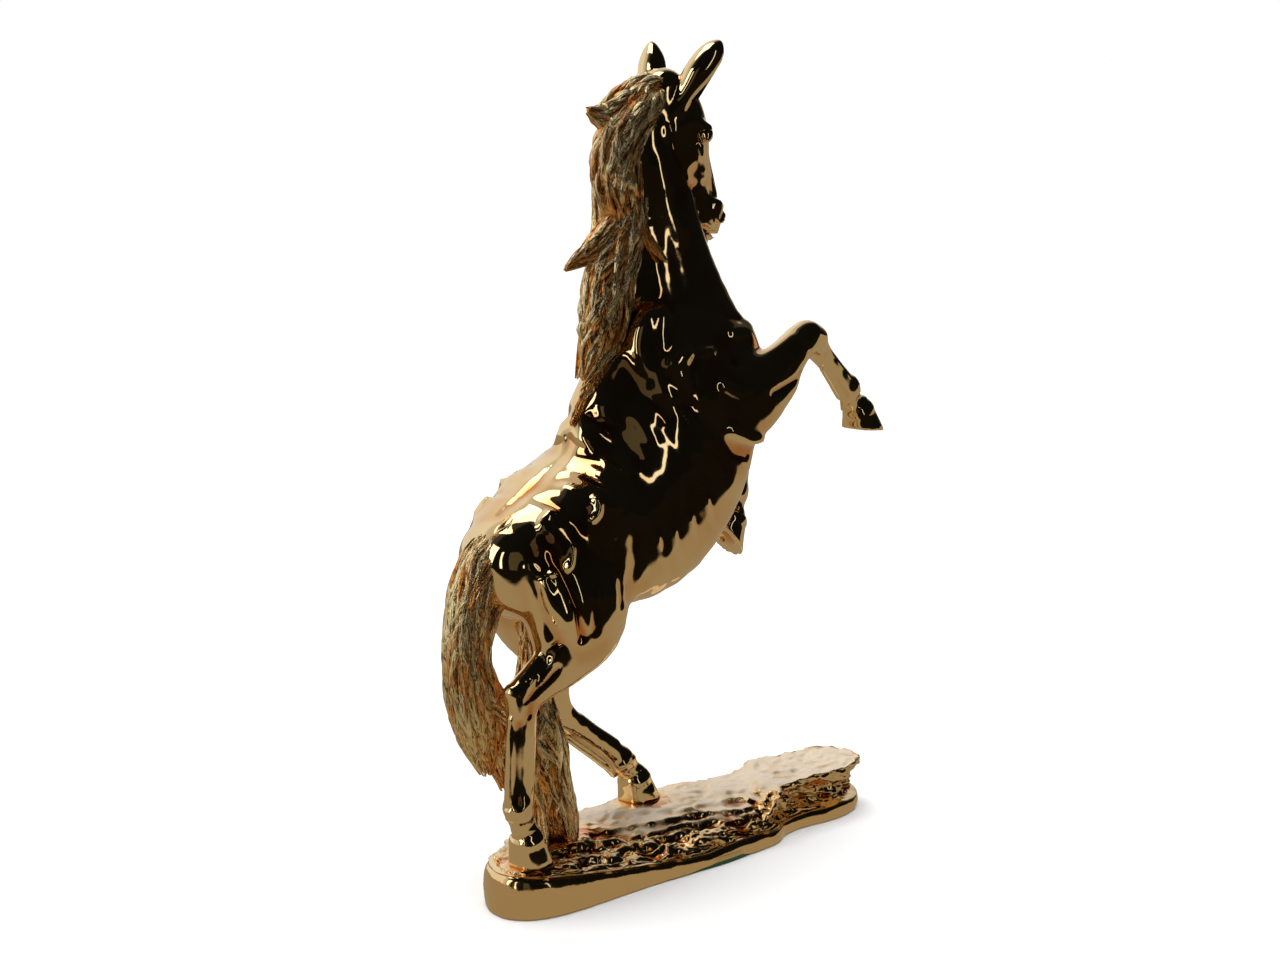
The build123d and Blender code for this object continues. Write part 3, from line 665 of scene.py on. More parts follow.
def tubes(centre, outward, width, thickness, ripple):
    # Closed tubes as one mesh. centre and outward are (tube, step, 3), width and thickness are
    # (tube, step), and ripple(turn) is each tube's factor on its radius, (tube, step, turn).
    tangent = np.gradient(centre, axis=1)
    tangent /= np.linalg.norm(tangent, axis=2)[..., None]
    outward = outward - tangent * (outward * tangent).sum(2)[..., None]
    outward /= np.linalg.norm(outward, axis=2)[..., None]
    side = np.cross(tangent, outward)
    turn = np.linspace(0, 2 * np.pi, ripple.shape[2], endpoint=False)
    reach = (side[:, :, None] * (width[..., None] * np.cos(turn))[..., None]
             + outward[:, :, None] * (thickness[..., None] * np.sin(turn))[..., None])
    points = centre[:, :, None] + reach * ripple[..., None]
    count, steps, around = ripple.shape
    index = np.arange(count * steps * around).reshape(count, steps, around)
    a, b = index[:, :-1], index[:, 1:]
    faces = np.stack([a, b, np.roll(b, -1, 2), np.roll(a, -1, 2)], axis=-1).reshape(-1, 4).tolist()
    faces += index[:, 0].tolist() + index[:, -1, ::-1].tolist()
    length = np.cumsum(np.linalg.norm(np.gradient(centre, axis=1), axis=2), axis=1)
    strand = np.stack([(width[..., None] * np.cos(turn)), thickness[..., None] * np.sin(turn),
                       np.broadcast_to(0.13 * length[..., None], ripple.shape)], axis=-1)
    strand = strand + 7 * np.arange(count)[:, None, None, None]
    return points.reshape(-1, 3), faces, strand.reshape(-1, 3)


def bundleSurface(rows, place, turn, swell):
    # Points on a bundle: rows are its smoothed stations, place is how far along from 0 to 1, turn is
    # the angle round it and swell a factor on its radius. Also gives the way out from its middle.
    steps = np.linspace(0, 1, len(rows))
    at = np.stack([np.interp(place, steps, column) for column in rows.T], axis=-1)
    tangent = np.gradient(rows[:, :3], axis=0)
    tangent /= np.linalg.norm(tangent, axis=1)[:, None]
    side = np.array([0, 1.0, 0]) - tangent * tangent[:, 1:2]
    side /= np.linalg.norm(side, axis=1)[:, None]
    deep = np.cross(tangent, side)
    sideAt, deepAt = (np.stack([np.interp(place, steps, c) for c in v.T], axis=-1) for v in (side, deep))
    out = (sideAt * (at[..., 3] * np.cos(turn))[..., None] + deepAt * (at[..., 4] * np.sin(turn))[..., None])
    return at[..., :3] + out * swell[..., None], out


def makeHair(name, bundles):
    # Each bundle is a grooved core under many short locks, which wander down and round it.
    points, faces, tone, strands = [], [], [], []

    def keep(made, shade):
        start = sum(len(p) for p in points)
        points.append(made[0])
        faces.extend([tuple(start + i for i in face) for face in made[1]])
        tone.append(np.broadcast_to(shade, made[0].shape[:1]) if np.ndim(shade) == 0 else shade)
        strands.append(made[2])

    for stations, count in bundles:
        count = int(count * hairLook["fullness"])
        rows = smoothRows(stations, hairLook["stations"])
        steps = np.linspace(0, 1, hairLook["coreSteps"])[None]
        turn = np.linspace(0, 2 * np.pi, hairLook["coreAround"], endpoint=False)
        closing = np.clip(np.sin(np.pi * np.clip(steps, 0.004, 0.996)) * 9, 0, 1) ** 0.5
        core, _ = bundleSurface(rows, steps, np.zeros_like(steps), np.zeros_like(steps))
        _, out = bundleSurface(rows, steps, np.full_like(steps, np.pi / 2), np.ones_like(steps))
        at = np.stack([np.interp(steps[0], np.linspace(0, 1, len(rows)), c) for c in rows.T], axis=-1)
        swirl = 5 * np.sin(7 * steps[..., None]) + noise(steps[..., None] * 9, turn * 2, 0, count)
        fine = noise(turn * 3, steps[..., None] * 14, 2, 5)
        grooves = 0.86 + 0.05 * np.sin(26 * turn + swirl) + 0.05 * fine
        # the core lies under the locks and gets strong painted shade
        keep(tubes(core, out, at[None, :, 3] * closing, at[None, :, 4] * closing, grooves), 0.9)

        along, around = hairLook["along"], hairLook["around"]
        first = rng.uniform(-0.08, 0.82, count)[:, None]
        length = rng.uniform(*hairLook["lockLength"], count)[:, None]
        run = np.linspace(0, 1, along)[None]
        place = np.clip(first + length * run, 0.002, 0.998)
        angle = rng.uniform(0, 2 * np.pi, count)[:, None]
        bend = rng.normal(0, hairLook["wander"], (2, count))[..., None]
        angle = angle + bend[0] * run + 0.3 * bend[1] * np.sin(2 * np.pi * run)
        swell = 0.9 + 0.13 * np.sin(np.pi * run) * rng.uniform(0.3, 1, count)[:, None]
        swell = swell + 0.02 * np.sin(9 * run + 6 * bend[1])
        centre, out = bundleSurface(rows, place, angle, swell)
        thin = np.sin(np.pi * np.clip(run, 0.02, 0.97)) ** 0.55 * np.interp(run, [0, 0.6, 1], [1, 1, 0.5])
        size = np.interp(place, np.linspace(0, 1, len(rows)), np.minimum(rows[:, 3], rows[:, 4]))
        size = np.clip(size / 7, 0.35, 1.1)
        width = rng.uniform(*hairLook["lockWidth"], count)[:, None] * thin * size
        thick = rng.uniform(*hairLook["lockThickness"], count)[:, None] * thin * size
        phase = rng.uniform(0, 6, count)[:, None, None]
        turn = np.linspace(0, 2 * np.pi, around, endpoint=False)
        ripple = 1 + hairLook["strandDepth"] * np.cos(hairLook["strands"] * turn + phase + 5 * run[..., None])
        chips = noise(phase * 9 + np.cos(turn), 9 * run[..., None], 2 * turn, 6)
        ripple = ripple + hairLook["chisel"] * chips
        # painted shade on each lock, of a random strength
        shade = np.repeat(rng.uniform(0, 1, count) ** 1.5, along * around)
        keep(tubes(centre, out, width, thick, ripple), shade)
    made = makeMesh(name, toFrame(np.vstack(points)), faces, None, {"paintedShade": np.concatenate(tone)})
    along = made.data.attributes.new("strand", "FLOAT_VECTOR", "POINT")
    along.data.foreach_set("vector", np.vstack(strands).ravel().astype(np.float32))
    print(name, len(made.data.polygons), "faces")
    return made


basePlan = [(-100, -22), (-92, -32), (-74, -36), (-34, -36), (44, -36), (68, -28), (106, -28), (126, -19),
            (132, -5), (122, 6), (96, 10), (60, 14), (34, 29), (-8, 31), (-50, 23), (-86, 6), (-98, -8)]
baseLook = {
    "around": 880, "seamStep": 1.3, "grit": 0.95, "foot": -19.85, "plateTop": -16.5, "cavityTop": -4.5,
    "plateInset": 3.0, "cavityInset": 11.0, "ledge": 2.7, "slopeDrop": 9.5,
    "rimTop": ((-100, -3), (-76, -4), (-50, -8), (-25, -11), (10, -13), (45, -12.5), (70, -14), (132, -13)),
    "noseStart": 67.0, "noseRise": 3.2,
    "ceilingBands": 9, "rimBands": 22, "wallBands": 34, "topBands": 42,
}


def closedCurve(points, count):
    # A closed Catmull-Rom curve through the points, spread evenly by length.
    points = np.array(points, float)
    n = len(points)
    fine = np.linspace(0, n, 60 * n, endpoint=False)
    i = fine.astype(int)
    t = (fine - i)[:, None]
    p0, p1, p2, p3 = points[i - 1], points[i % n], points[(i + 1) % n], points[(i + 2) % n]
    curve = 0.5 * (2 * p1 + (p2 - p0) * t + (2 * p0 - 5 * p1 + 4 * p2 - p3) * t ** 2
                   + (3 * p1 - p0 - 3 * p2 + p3) * t ** 3)
    closed = np.vstack([curve, curve[:1]])
    length = np.concatenate([[0], np.cumsum(np.linalg.norm(np.diff(closed, axis=0), axis=1))])
    even = np.linspace(0, length[-1], count, endpoint=False)
    return np.stack([np.interp(even, length, column) for column in closed.T], axis=1)


def smoothStep(low, high, x):
    t = np.clip((x - low) / (high - low), 0, 1)
    return t * t * (3 - 2 * t)


def rockTop(x, y):
    # Height of the rock's top: a broken slope down to the near rim, in ledges, a raised front, and
    # level ground under the hooves and tail.
    near = smoothStep(0, -33, y) * smoothStep(-76, -52, x) * smoothStep(60, 46, x)
    h = 2.2 * roughness(x / 19, y / 10, 0.5, 3, 11) * (0.4 + 0.8 * near)
    h = h - 0.6 - baseLook["slopeDrop"] * near - 3 * smoothStep(12, 30, y)
    lean = (h + 0.06 * x + 1.4 * noise(x / 23, y / 23, 0, 77)) / baseLook["ledge"]
    part = lean - np.floor(lean)
    h = h + baseLook["ledge"] * (smoothStep(0.3, 0.62, part) - part) * (0.35 + 0.65 * near)
    h = h + 0.28 * roughness(x / 4, y / 3, 0.2, 3, 5)
    front = x - baseLook["noseStart"] - 0.6 * y + 4 * noise(y / 8, x / 30, 1, 9)
    h = h + baseLook["noseRise"] * smoothStep(0, 10, front) * smoothStep(140, 116, x)
    level = 0
    for place, reach in ((hooves["rightHind"][1], 15), (hooves["leftHind"][1], 15), ((-50, 0, 0), 17)):
        level = np.maximum(level, 1 - smoothStep(reach * 0.6, reach, np.hypot(x - place[0], y - place[1])))
    return h * (1 - level) - 0.3 * level


def makeBase():
    # A band of points round the plan for each step of the profile: from the hollow underside out to
    # the foot, up the smooth rim, over a rough ledge and up the layered rock, then in to a middle line.
    look = baseLook
    edge = closedCurve(basePlan, look["around"])

    def middleLine(x):
        return np.stack([np.clip(x, -78, 112), np.interp(x, [-90, -40, 40, 70, 120], [-14, -4, -4, -8, -8])],
                        axis=1)

    seam = middleLine(look["seamStep"] * np.round(edge[:, 0] / look["seamStep"]))
    toSpine = middleLine(edge[:, 0]) - edge
    far = np.linalg.norm(toSpine, axis=1)
    x0, y0 = edge.T
    wave = noise(x0 / 26, y0 / 26, 0, 3) * 1.0 + noise(x0 / 9, y0 / 9, 0, 4) * 0.3
    bands = []          # each is (inset from the edge or from the top's rim, height)

    def band(inset, height):
        share = np.clip(inset / far, 0, 1)
        xy = edge + toSpine * share[:, None]
        bands.append(np.column_stack([xy, np.broadcast_to(height, share.shape)]))

    whole = np.ones_like(far)
    for share in np.linspace(1, 0, look["ceilingBands"]):       # the hollow's ceiling, under the rock
        inset = look["cavityInset"] + (far - look["cavityInset"]) * share
        xy = edge + toSpine * (inset / far)[:, None] if share < 1 else seam
        bands.append(np.column_stack([xy, np.minimum(look["cavityTop"], rockTop(*xy.T) - 3)]))
    band(whole * look["cavityInset"], look["plateTop"])
    band(whole * look["plateInset"], look["plateTop"])
    band(whole * look["plateInset"], look["foot"])
    band(whole * 2.4, look["foot"])
    firstRimBand = len(bands)
    # rim: leans in, swells a little in the middle and rolls over at its wavy top
    rimTop = np.interp(x0, *zip(*look["rimTop"])) + 1.2 * noise(x0 / 24, y0 / 24, 5, 8)
    rimTop = rimTop + 0.4 * noise(x0 / 7, y0 / 7, 5, 8)
    for t in np.linspace(0, 1, look["rimBands"]):
        height = look["foot"] + (rimTop - look["foot"]) * t
        round_ = 0.4 * (1 - t) ** 6 + 0.7 * t + 2.4 * t ** 14 - 0.5 * np.sin(np.pi * t)
        dents = 0.35 * roughness(x0 / 11, y0 / 11, height / 8, 2, 14)
        band(round_ + 0.6 * wave + dents + 0.4, height)
    # ledge and layered rock
    top = np.maximum(rockTop(*(edge + toSpine * np.clip(5 / far, 0, 1)[:, None]).T), rimTop + 1.5)
    front = smoothStep(46, 62, x0)
    layered = smoothStep(-0.35, 0.25, noise(x0 / 22, y0 / 22, 7, 31))
    for t in np.linspace(0, 1, look["wallBands"]):
        height = rimTop + 0.3 + (top - 0.2 - rimTop) * t
        tilt = height + 0.16 * x0
        plates = roughness(x0 / 13 + 3, y0 / 13, tilt / 2.3, 3, 41)
        steps = 0.9 * np.tanh(4 * noise(x0 / 17, y0 / 17, tilt / 3.6, 55))
        inset = 3.1 + 0.6 * wave + 2.8 * t ** 1.5 - 1.5 * np.exp(-(t / 0.05) ** 2)
        broken = (0.35 + 0.65 * layered) * np.sin(np.pi * np.clip(t, 0.03, 0.97)) ** 0.4
        inset = inset + (1.5 * plates + 1.1 * steps) * broken
        overhang = 1.0 + 5.5 * np.sin(np.pi * min(t + 0.12, 1)) ** 0.8 + 1.6 * plates + 1.3 * steps
        inset = inset * (1 - front) + overhang * front
        band(np.maximum(inset, 1.0), height)
    rimInset = inset
    for t in np.linspace(0, 1, look["topBands"])[1:]:
        share = np.clip(rimInset / far, 0, 1)
        share = share + (1 - share) * t ** 0.9 * 0.999
        xy = edge + toSpine * share[:, None]
        height = rockTop(*xy.T)
        height = height + (top - 0.2 - height) * np.exp(-t / 0.05)
        bands.append(np.column_stack([xy, height]))
    bands[-1] = np.column_stack([seam, rockTop(*seam.T)])
    points = np.array(bands)
    count, around = points.shape[:2]
    mean = points
    for _ in range(5):
        ends = np.concatenate([mean[:1], mean, mean[-1:]])
        mean = (np.roll(mean, 1, 1) + np.roll(mean, -1, 1) + ends[:-2] + ends[2:]) / 4
    outward = np.cross((np.roll(mean, -1, 1) - np.roll(mean, 1, 1)), np.gradient(mean, axis=0))
    outward /= np.maximum(np.linalg.norm(outward, axis=2), 1e-9)[..., None]
    outward[-1] = 0, 0, 1
    x, y, z = np.moveaxis(points, 2, 0)
    rocky = smoothStep(0, 1.5, z - rimTop[None]) * smoothStep(firstRimBand, firstRimBand + 2, np.arange(count))[:, None]
    for place in (hooves["rightHind"][1], hooves["leftHind"][1], (-50, 0, 0)):
        rocky = rocky * (0.15 + 0.85 * smoothStep(9, 15, np.hypot(x - place[0], y - place[1])))
    grit = 1 - 2.6 * np.abs(noise(x / 11, y / 7, (z + 0.1 * x) / 3.2, 61))
    grit = grit + 0.6 * (1 - 2.6 * np.abs(noise(x / 5, y / 3.4, (z + 0.2 * x) / 1.7, 62)))
    grit = grit + 0.3 * noise(x / 2.2, y / 1.7, z / 1.2, 63)
    steep = 1 - 0.62 * smoothStep(0.72, 0.93, outward[..., 2]) * smoothStep(-7, -3, z)
    points = points + outward * (look["grit"] * grit * rocky * steep)[..., None]
    # painted sheen: upward faces high on the rock, more towards the front, turn paler and rougher, standing in for the
    # light from above on them
    paintedSheen = smoothStep(0.72, 0.93, outward[..., 2]) * smoothStep(-9, -4, points[..., 2])
    paintedSheen = paintedSheen * smoothStep(-46, -12, points[..., 0] + 0.8 * points[..., 1])
    # painted shade: high in the rock's hollows, where a point lies below its smoothed neighbours, and round the hooves
    # and the tail's foot, where it stands for their shade and the copper-red light they throw back
    paintedShade = ((mean - points) * outward).sum(2) / 0.9 + 0.25
    for place, reach in ((hooves["rightHind"][1], 17), (hooves["leftHind"][1], 20), ((-50, 0, 0), 24)):
        near = 1 - smoothStep(5, reach, np.hypot(x - place[0], y - place[1]))
        paintedShade = paintedShade + 0.7 * near * smoothStep(-9, -4, z)
        paintedSheen = paintedSheen * (1 - near)
    paintedShade = np.clip(paintedShade, 0, 1)
    index = np.arange(count * around).reshape(count, around)
    a, b = index[:-1], index[1:]
    faces = np.stack([a, np.roll(a, -1, 1), np.roll(b, -1, 1), b], axis=-1).reshape(-1, 4)
    flat = points.reshape(-1, 3)
    # points that meet on the middle line are one point
    key = np.round(flat * 500).astype(np.int64)
    _, first, same = np.unique(key, axis=0, return_index=True, return_inverse=True)
    faces = same.reshape(-1)[faces].tolist()
    faces = [tuple(dict.fromkeys(face)) for face in faces]
    faces = [face for face in faces if len(face) > 2]
    made = makeMesh("rockBase", toFrame(flat[first]), faces, None,
                    {"paintedShade": paintedShade.reshape(-1)[first], "paintedSheen": paintedSheen.reshape(-1)[first]})
    print("rockBase", len(made.data.polygons), "faces")
    return made


studio = {
    "floorNear": 0.24,     # how far towards the camera the floor glows with painted light in the bronze's reflections
    "floorFar": 6.0,
    "floorWhite": 0.86,
    # colour of the floor's painted glow in the bronze's reflections
    "floorGlowInBronze": (0.34, 0.29, 0.21, 1),
    "backdrop": 1.0,
    "litSide": (0.08, 0.997, 0.0),
    # how bright the room is, from the dark side at -1 to the lit side at 1
    "room": ((-1, 0.004), (0.1, 0.006), (0.16, 0.035), (0.34, 0.05), (0.40, 0.5), (0.62, 0.62), (0.7, 0.85),
             (1, 0.8)),
    "sky": 3.7,
    "topLight": 3.6,
    "sideLight": 4.2,
    "stripLight": 0.8,
    "dimLight": 0.08,
    "frontLight": 0.5,
}


viewpoint = {"turn": 45, "pitch": 11, "distance": 1250, "lookAt": (0.0, 0.0, 148.0), "sensor": 36, "lens": 81.56}


def makeCamera():
    # The viewpoint: in front of the horse's right side, turned 45 degrees and 11 degrees above level.
    turn, pitch, distance = np.radians(viewpoint["turn"]), np.radians(viewpoint["pitch"]), viewpoint["distance"]
    target = np.array(viewpoint["lookAt"])
    away = np.array([np.sin(turn) * np.cos(pitch), np.cos(turn) * np.cos(pitch), -np.sin(pitch)])
    data = bpy.data.cameras.new("camera")
    data.sensor_width, data.lens = viewpoint["sensor"], viewpoint["lens"]
    camera = bpy.data.objects.new("camera", data)
    camera.location = toFrame(target - away * distance)
    right = np.array([away[1], -away[0], 0]) / np.hypot(away[0], away[1])
    up = np.cross(right, away)
    camera.rotation_euler = Matrix(np.stack([right, up, -away], axis=1).tolist()).to_euler()
    bpy.context.scene.collection.objects.link(camera)
    bpy.context.scene.camera = camera
    return camera


def makeStage():
    # A pale floor, evenly white to the camera. In the bronze's reflections it glows: a warm painted glow round the
    # object and behind, and painted shade in front.
    f = studio["floorFar"]
    corners = np.array([(-f, -f, 0), (f, -f, 0), (f, f, 0), (-f, f, 0)]) - (0, 0, 0.0004)
    floor = makeMesh("floor", corners, [(0, 1, 2, 3)])
    material = bpy.data.materials.new("paleFloor")
    material.use_nodes = True
    shader = material.node_tree.nodes["Principled BSDF"]
    shader.inputs["Base Color"].default_value = (studio["floorWhite"],) * 3 + (1,)
    shader.inputs["Roughness"].default_value = 0.9
    shader.inputs["Specular IOR Level"].default_value = 0.1
    nodes, links = material.node_tree.nodes, material.node_tree.links
    # painted glow in the reflections: warm, as the floor with the bronze's own reflection and shadow in it, fading to
    # painted shade towards the camera
    mirrored = nodes.new("ShaderNodeEmission")
    mirrored.inputs["Color"].default_value = studio["floorGlowInBronze"]
    place = nodes.new("ShaderNodeTexCoord")
    facing = nodes.new("ShaderNodeVectorMath")
    facing.operation = "DOT_PRODUCT"
    facing.inputs[1].default_value = (0.2, 0.98, 0)
    links.new(place.outputs["Object"], facing.inputs[0])
    fade = nodes.new("ShaderNodeMapRange")
    fade.interpolation_type = "SMOOTHSTEP"
    for key, value in (("From Min", -studio["floorNear"] - 0.06), ("From Max", -studio["floorNear"]),
                       ("To Min", 0.02), ("To Max", 1)):
        fade.inputs[key].default_value = value
    links.new(facing.outputs["Value"], fade.inputs["Value"])
    links.new(fade.outputs["Result"], mirrored.inputs["Strength"])
    ray = nodes.new("ShaderNodeLightPath")
    mix = nodes.new("ShaderNodeMixShader")
    links.new(ray.outputs["Is Camera Ray"], mix.inputs["Fac"])
    links.new(mirrored.outputs["Emission"], mix.inputs[1])
    links.new(shader.outputs["BSDF"], mix.inputs[2])
    links.new(mix.outputs["Shader"], nodes["Material Output"].inputs["Surface"])
    floor.data.materials.append(material)


def areaLight(name, place, size, power, target=(0, 0, 0.15), colour=(1, 1, 1)):
    data = bpy.data.lights.new(name, "AREA")
    data.shape, data.size, data.size_y, data.energy, data.color = "RECTANGLE", *size, power, colour
    light = bpy.data.objects.new(name, data)
    light.location = place
    light.rotation_euler = (Vector(target) - Vector(place)).to_track_quat("-Z", "Y").to_euler()
    bpy.context.scene.collection.objects.link(light)


def makeLights():
    sun = bpy.data.lights.new("softSky", "SUN")
    sun.energy, sun.angle = studio["sky"], np.radians(60)
    overhead = bpy.data.objects.new("softSky", sun)
    overhead.visible_glossy = False
    bpy.context.scene.collection.objects.link(overhead)
    areaLight("topSoftbox", (-0.1, 0.45, 1.5), (0.75, 0.75), studio["topLight"])
    areaLight("sideSoftbox", (-1.5, 0.35, 0.75), (0.5, 1.4), studio["sideLight"])
    areaLight("stripSoftbox", (-1.45, -0.42, 0.55), (0.14, 1.1), studio["stripLight"])
    areaLight("dimSoftbox", (-1.1, -1.0, 0.5), (0.4, 1.0), studio["dimLight"], colour=(1, 0.84, 0.6))
    areaLight("frontSoftbox", (0.3, -1.45, 0.62), (0.12, 1.2), studio["frontLight"])


def makeWorld():
    # A white room behind the object and a dark one on the camera's side. The camera sees it all white.
    world = bpy.data.worlds.new("studio")
    world.use_nodes = True
    bpy.context.scene.world = world
    nodes, links = world.node_tree.nodes, world.node_tree.links
    nodes.clear()
    place = nodes.new("ShaderNodeTexCoord")
    facing = nodes.new("ShaderNodeVectorMath")
    facing.operation = "DOT_PRODUCT"
    facing.inputs[1].default_value = studio["litSide"]
    links.new(place.outputs["Generated"], facing.inputs[0])
    ramp = nodes.new("ShaderNodeValToRGB")
    steps = ramp.color_ramp.elements
    while len(steps) < len(studio["room"]):
        steps.new(0.5)
    for step, (position, light) in zip(steps, studio["room"]):
        step.position, step.color = (position + 1) / 2, (light, light, light, 1)
    spread = nodes.new("ShaderNodeMath")
    spread.operation = "MULTIPLY_ADD"
    spread.inputs[1].default_value = spread.inputs[2].default_value = 0.5
    links.new(facing.outputs["Value"], spread.inputs[0])
    links.new(spread.outputs["Value"], ramp.inputs["Fac"])
    room = nodes.new("ShaderNodeBackground")
    links.new(ramp.outputs["Color"], room.inputs["Color"])
    seen = nodes.new("ShaderNodeBackground")
    seen.inputs["Color"].default_value = (1, 1, 1, 1)
    seen.inputs["Strength"].default_value = studio["backdrop"]
    ray = nodes.new("ShaderNodeLightPath")
    mix = nodes.new("ShaderNodeMixShader")
    links.new(ray.outputs["Is Camera Ray"], mix.inputs["Fac"])
    links.new(room.outputs["Background"], mix.inputs[1])
    links.new(seen.outputs["Background"], mix.inputs[2])
    out = nodes.new("ShaderNodeOutputWorld")
    links.new(mix.outputs["Shader"], out.inputs["Surface"])
    bpy.context.scene.view_settings.view_transform = "Standard"


# Colours of the metals and the felt. The deep and groove colours are painted shade, copper-red and brown; the pale
# cream one is a painted sheen; the hair's bright colour is paler than the body's, as painted light.
finishesAndShades = {
    "bright": (0.92, 0.69, 0.37, 1), "deep": (0.72, 0.27, 0.06, 1), "sheenColour": (0.70, 0.58, 0.44, 1),
    "hair": (1.0, 0.82, 0.46, 1), "hairShade": (0.95, 0.42, 0.10, 1), "hairGrooveShade": (0.24, 0.11, 0.035, 1),
    "rock": (0.93, 0.65, 0.32, 1), "rockShade": (0.70, 0.22, 0.04, 1),
    "brass": (0.80, 0.60, 0.26, 1), "pin": (0.70, 0.48, 0.26, 1),
    "zinc": (0.62, 0.64, 0.67, 1), "zincBlue": (0.50, 0.56, 0.66, 1),
    "felt": (0.012, 0.075, 0.035, 1), "feltPale": (0.03, 0.15, 0.07, 1),
}


def newGroup(name, inputs, outputs):
    # An empty node group. Inputs are name: starting value, a number or a colour, and outputs name: kind.
    group = bpy.data.node_groups.new(name, "ShaderNodeTree")
    for key, value in inputs.items():
        kind = "NodeSocketColor" if isinstance(value, tuple) else "NodeSocketFloat"
        group.interface.new_socket(name=key, in_out="INPUT", socket_type=kind).default_value = value
    for key, kind in outputs.items():
        group.interface.new_socket(name=key, in_out="OUTPUT", socket_type=kind)
    return group, group.nodes.new("NodeGroupInput"), group.nodes.new("NodeGroupOutput")


def add(tree, kind, settings=(), **sockets):
    # A node with its settings, and its sockets set to values or linked from other sockets.
    node = tree.nodes.new("ShaderNode" + kind)
    for key, value in dict(settings).items():
        setattr(node, key, value)
    for key, value in sockets.items():
        numbered = key[0] == "i" and key[1:].isdigit()
        socket = node.inputs[int(key[1:]) if numbered else key.replace("_", " ")]
        if isinstance(value, bpy.types.NodeSocket):
            tree.links.new(value, socket)
        else:
            socket.default_value = value
    return node


def toneGroup():
    # Bright metal that turns to the deep colour where the Recess input is high, with faint smudges and a casting's
    # grain. On the castings, hair and rock the Recess input is painted shade, so the deep colour there is painted shade
    # in the hollows; zinc gets a set share of its bluish tone instead.
    group, given, out = newGroup(
        "metalToneAndShade", {"Recess": 0.0, "Bright": finishesAndShades["bright"], "Deep": finishesAndShades["deep"],
                       "Polish": 0.03, "Smudge": 0.05, "Grain Scale": 700.0},
        {"Color": "NodeSocketColor", "Roughness": "NodeSocketFloat", "Height": "NodeSocketFloat"})
    place = add(group, "TexCoord").outputs["Object"]
    broad = add(group, "TexNoise", Vector=place, Scale=42.0, Detail=3.0).outputs["Fac"]
    grain = add(group, "TexNoise", Vector=place, Scale=given.outputs["Grain Scale"], Detail=2.0)
    reach = add(group, "Math", {"operation": "MULTIPLY_ADD"}, i0=broad, i1=0.5, i2=given.outputs["Recess"])
    mask = add(group, "MapRange", {"interpolation_type": "SMOOTHSTEP"}, Value=reach.outputs[0],
               From_Min=0.55, From_Max=1.25)
    tone = add(group, "Mix", {"data_type": "RGBA"}, i0=mask.outputs["Result"],
               i6=given.outputs["Bright"], i7=given.outputs["Deep"])
    rough = add(group, "Math", {"operation": "MULTIPLY_ADD"}, i0=broad, i1=given.outputs["Smudge"],
                i2=given.outputs["Polish"])
    group.links.new(tone.outputs[2], out.inputs["Color"])
    group.links.new(rough.outputs[0], out.inputs["Roughness"])
    group.links.new(grain.outputs["Fac"], out.inputs["Height"])
    return group


def strandGroup():
    # Fine chiselled strands: noise that is short across the hair and long along it.
    group, given, out = newGroup("hairStrands", {"Scale": 1.9, "Depth": 1.0}, {"Height": "NodeSocketFloat"})
    along = add(group, "Attribute", {"attribute_name": "strand"}).outputs["Vector"]
    fine = add(group, "TexNoise", Vector=along, Scale=given.outputs["Scale"], Detail=3.0, Roughness=0.6)
    height = add(group, "Math", {"operation": "MULTIPLY"}, i0=fine.outputs["Fac"], i1=given.outputs["Depth"])
    group.links.new(height.outputs[0], out.inputs["Height"])
    return group


def newMaterial(name, metallic=1.0):
    material = bpy.data.materials.new(name)
    material.use_nodes = True
    shader = material.node_tree.nodes["Principled BSDF"]
    shader.inputs["Metallic"].default_value = metallic
    return material, material.node_tree, shader


def placeGroup(tree, group, **sockets):
    node = tree.nodes.new("ShaderNodeGroup")
    node.node_tree = group
    for key, value in sockets.items():
        socket = node.inputs[key.replace("_", " ")]
        if isinstance(value, bpy.types.NodeSocket):
            tree.links.new(value, socket)
        else:
            socket.default_value = value
    return node


def castMetal(name, tone, depth, paintedShade=True, **values):
    # A metal from the tone group, with its grain as a bump of the given depth in metres.
    material, tree, shader = newMaterial(name)
    # painted shade from the mesh, which the tone group turns into the deep colour
    if paintedShade:
        values["Recess"] = add(tree, "Attribute", {"attribute_name": "paintedShade"}).outputs["Fac"]
    made = placeGroup(tree, tone, **values)
    bump = add(tree, "Bump", Strength=0.35, Distance=depth, Height=made.outputs["Height"])
    tree.links.new(made.outputs["Color"], shader.inputs["Base Color"])
    tree.links.new(made.outputs["Roughness"], shader.inputs["Roughness"])
    tree.links.new(bump.outputs["Normal"], shader.inputs["Normal"])
    return material, tree, shader, made, bump


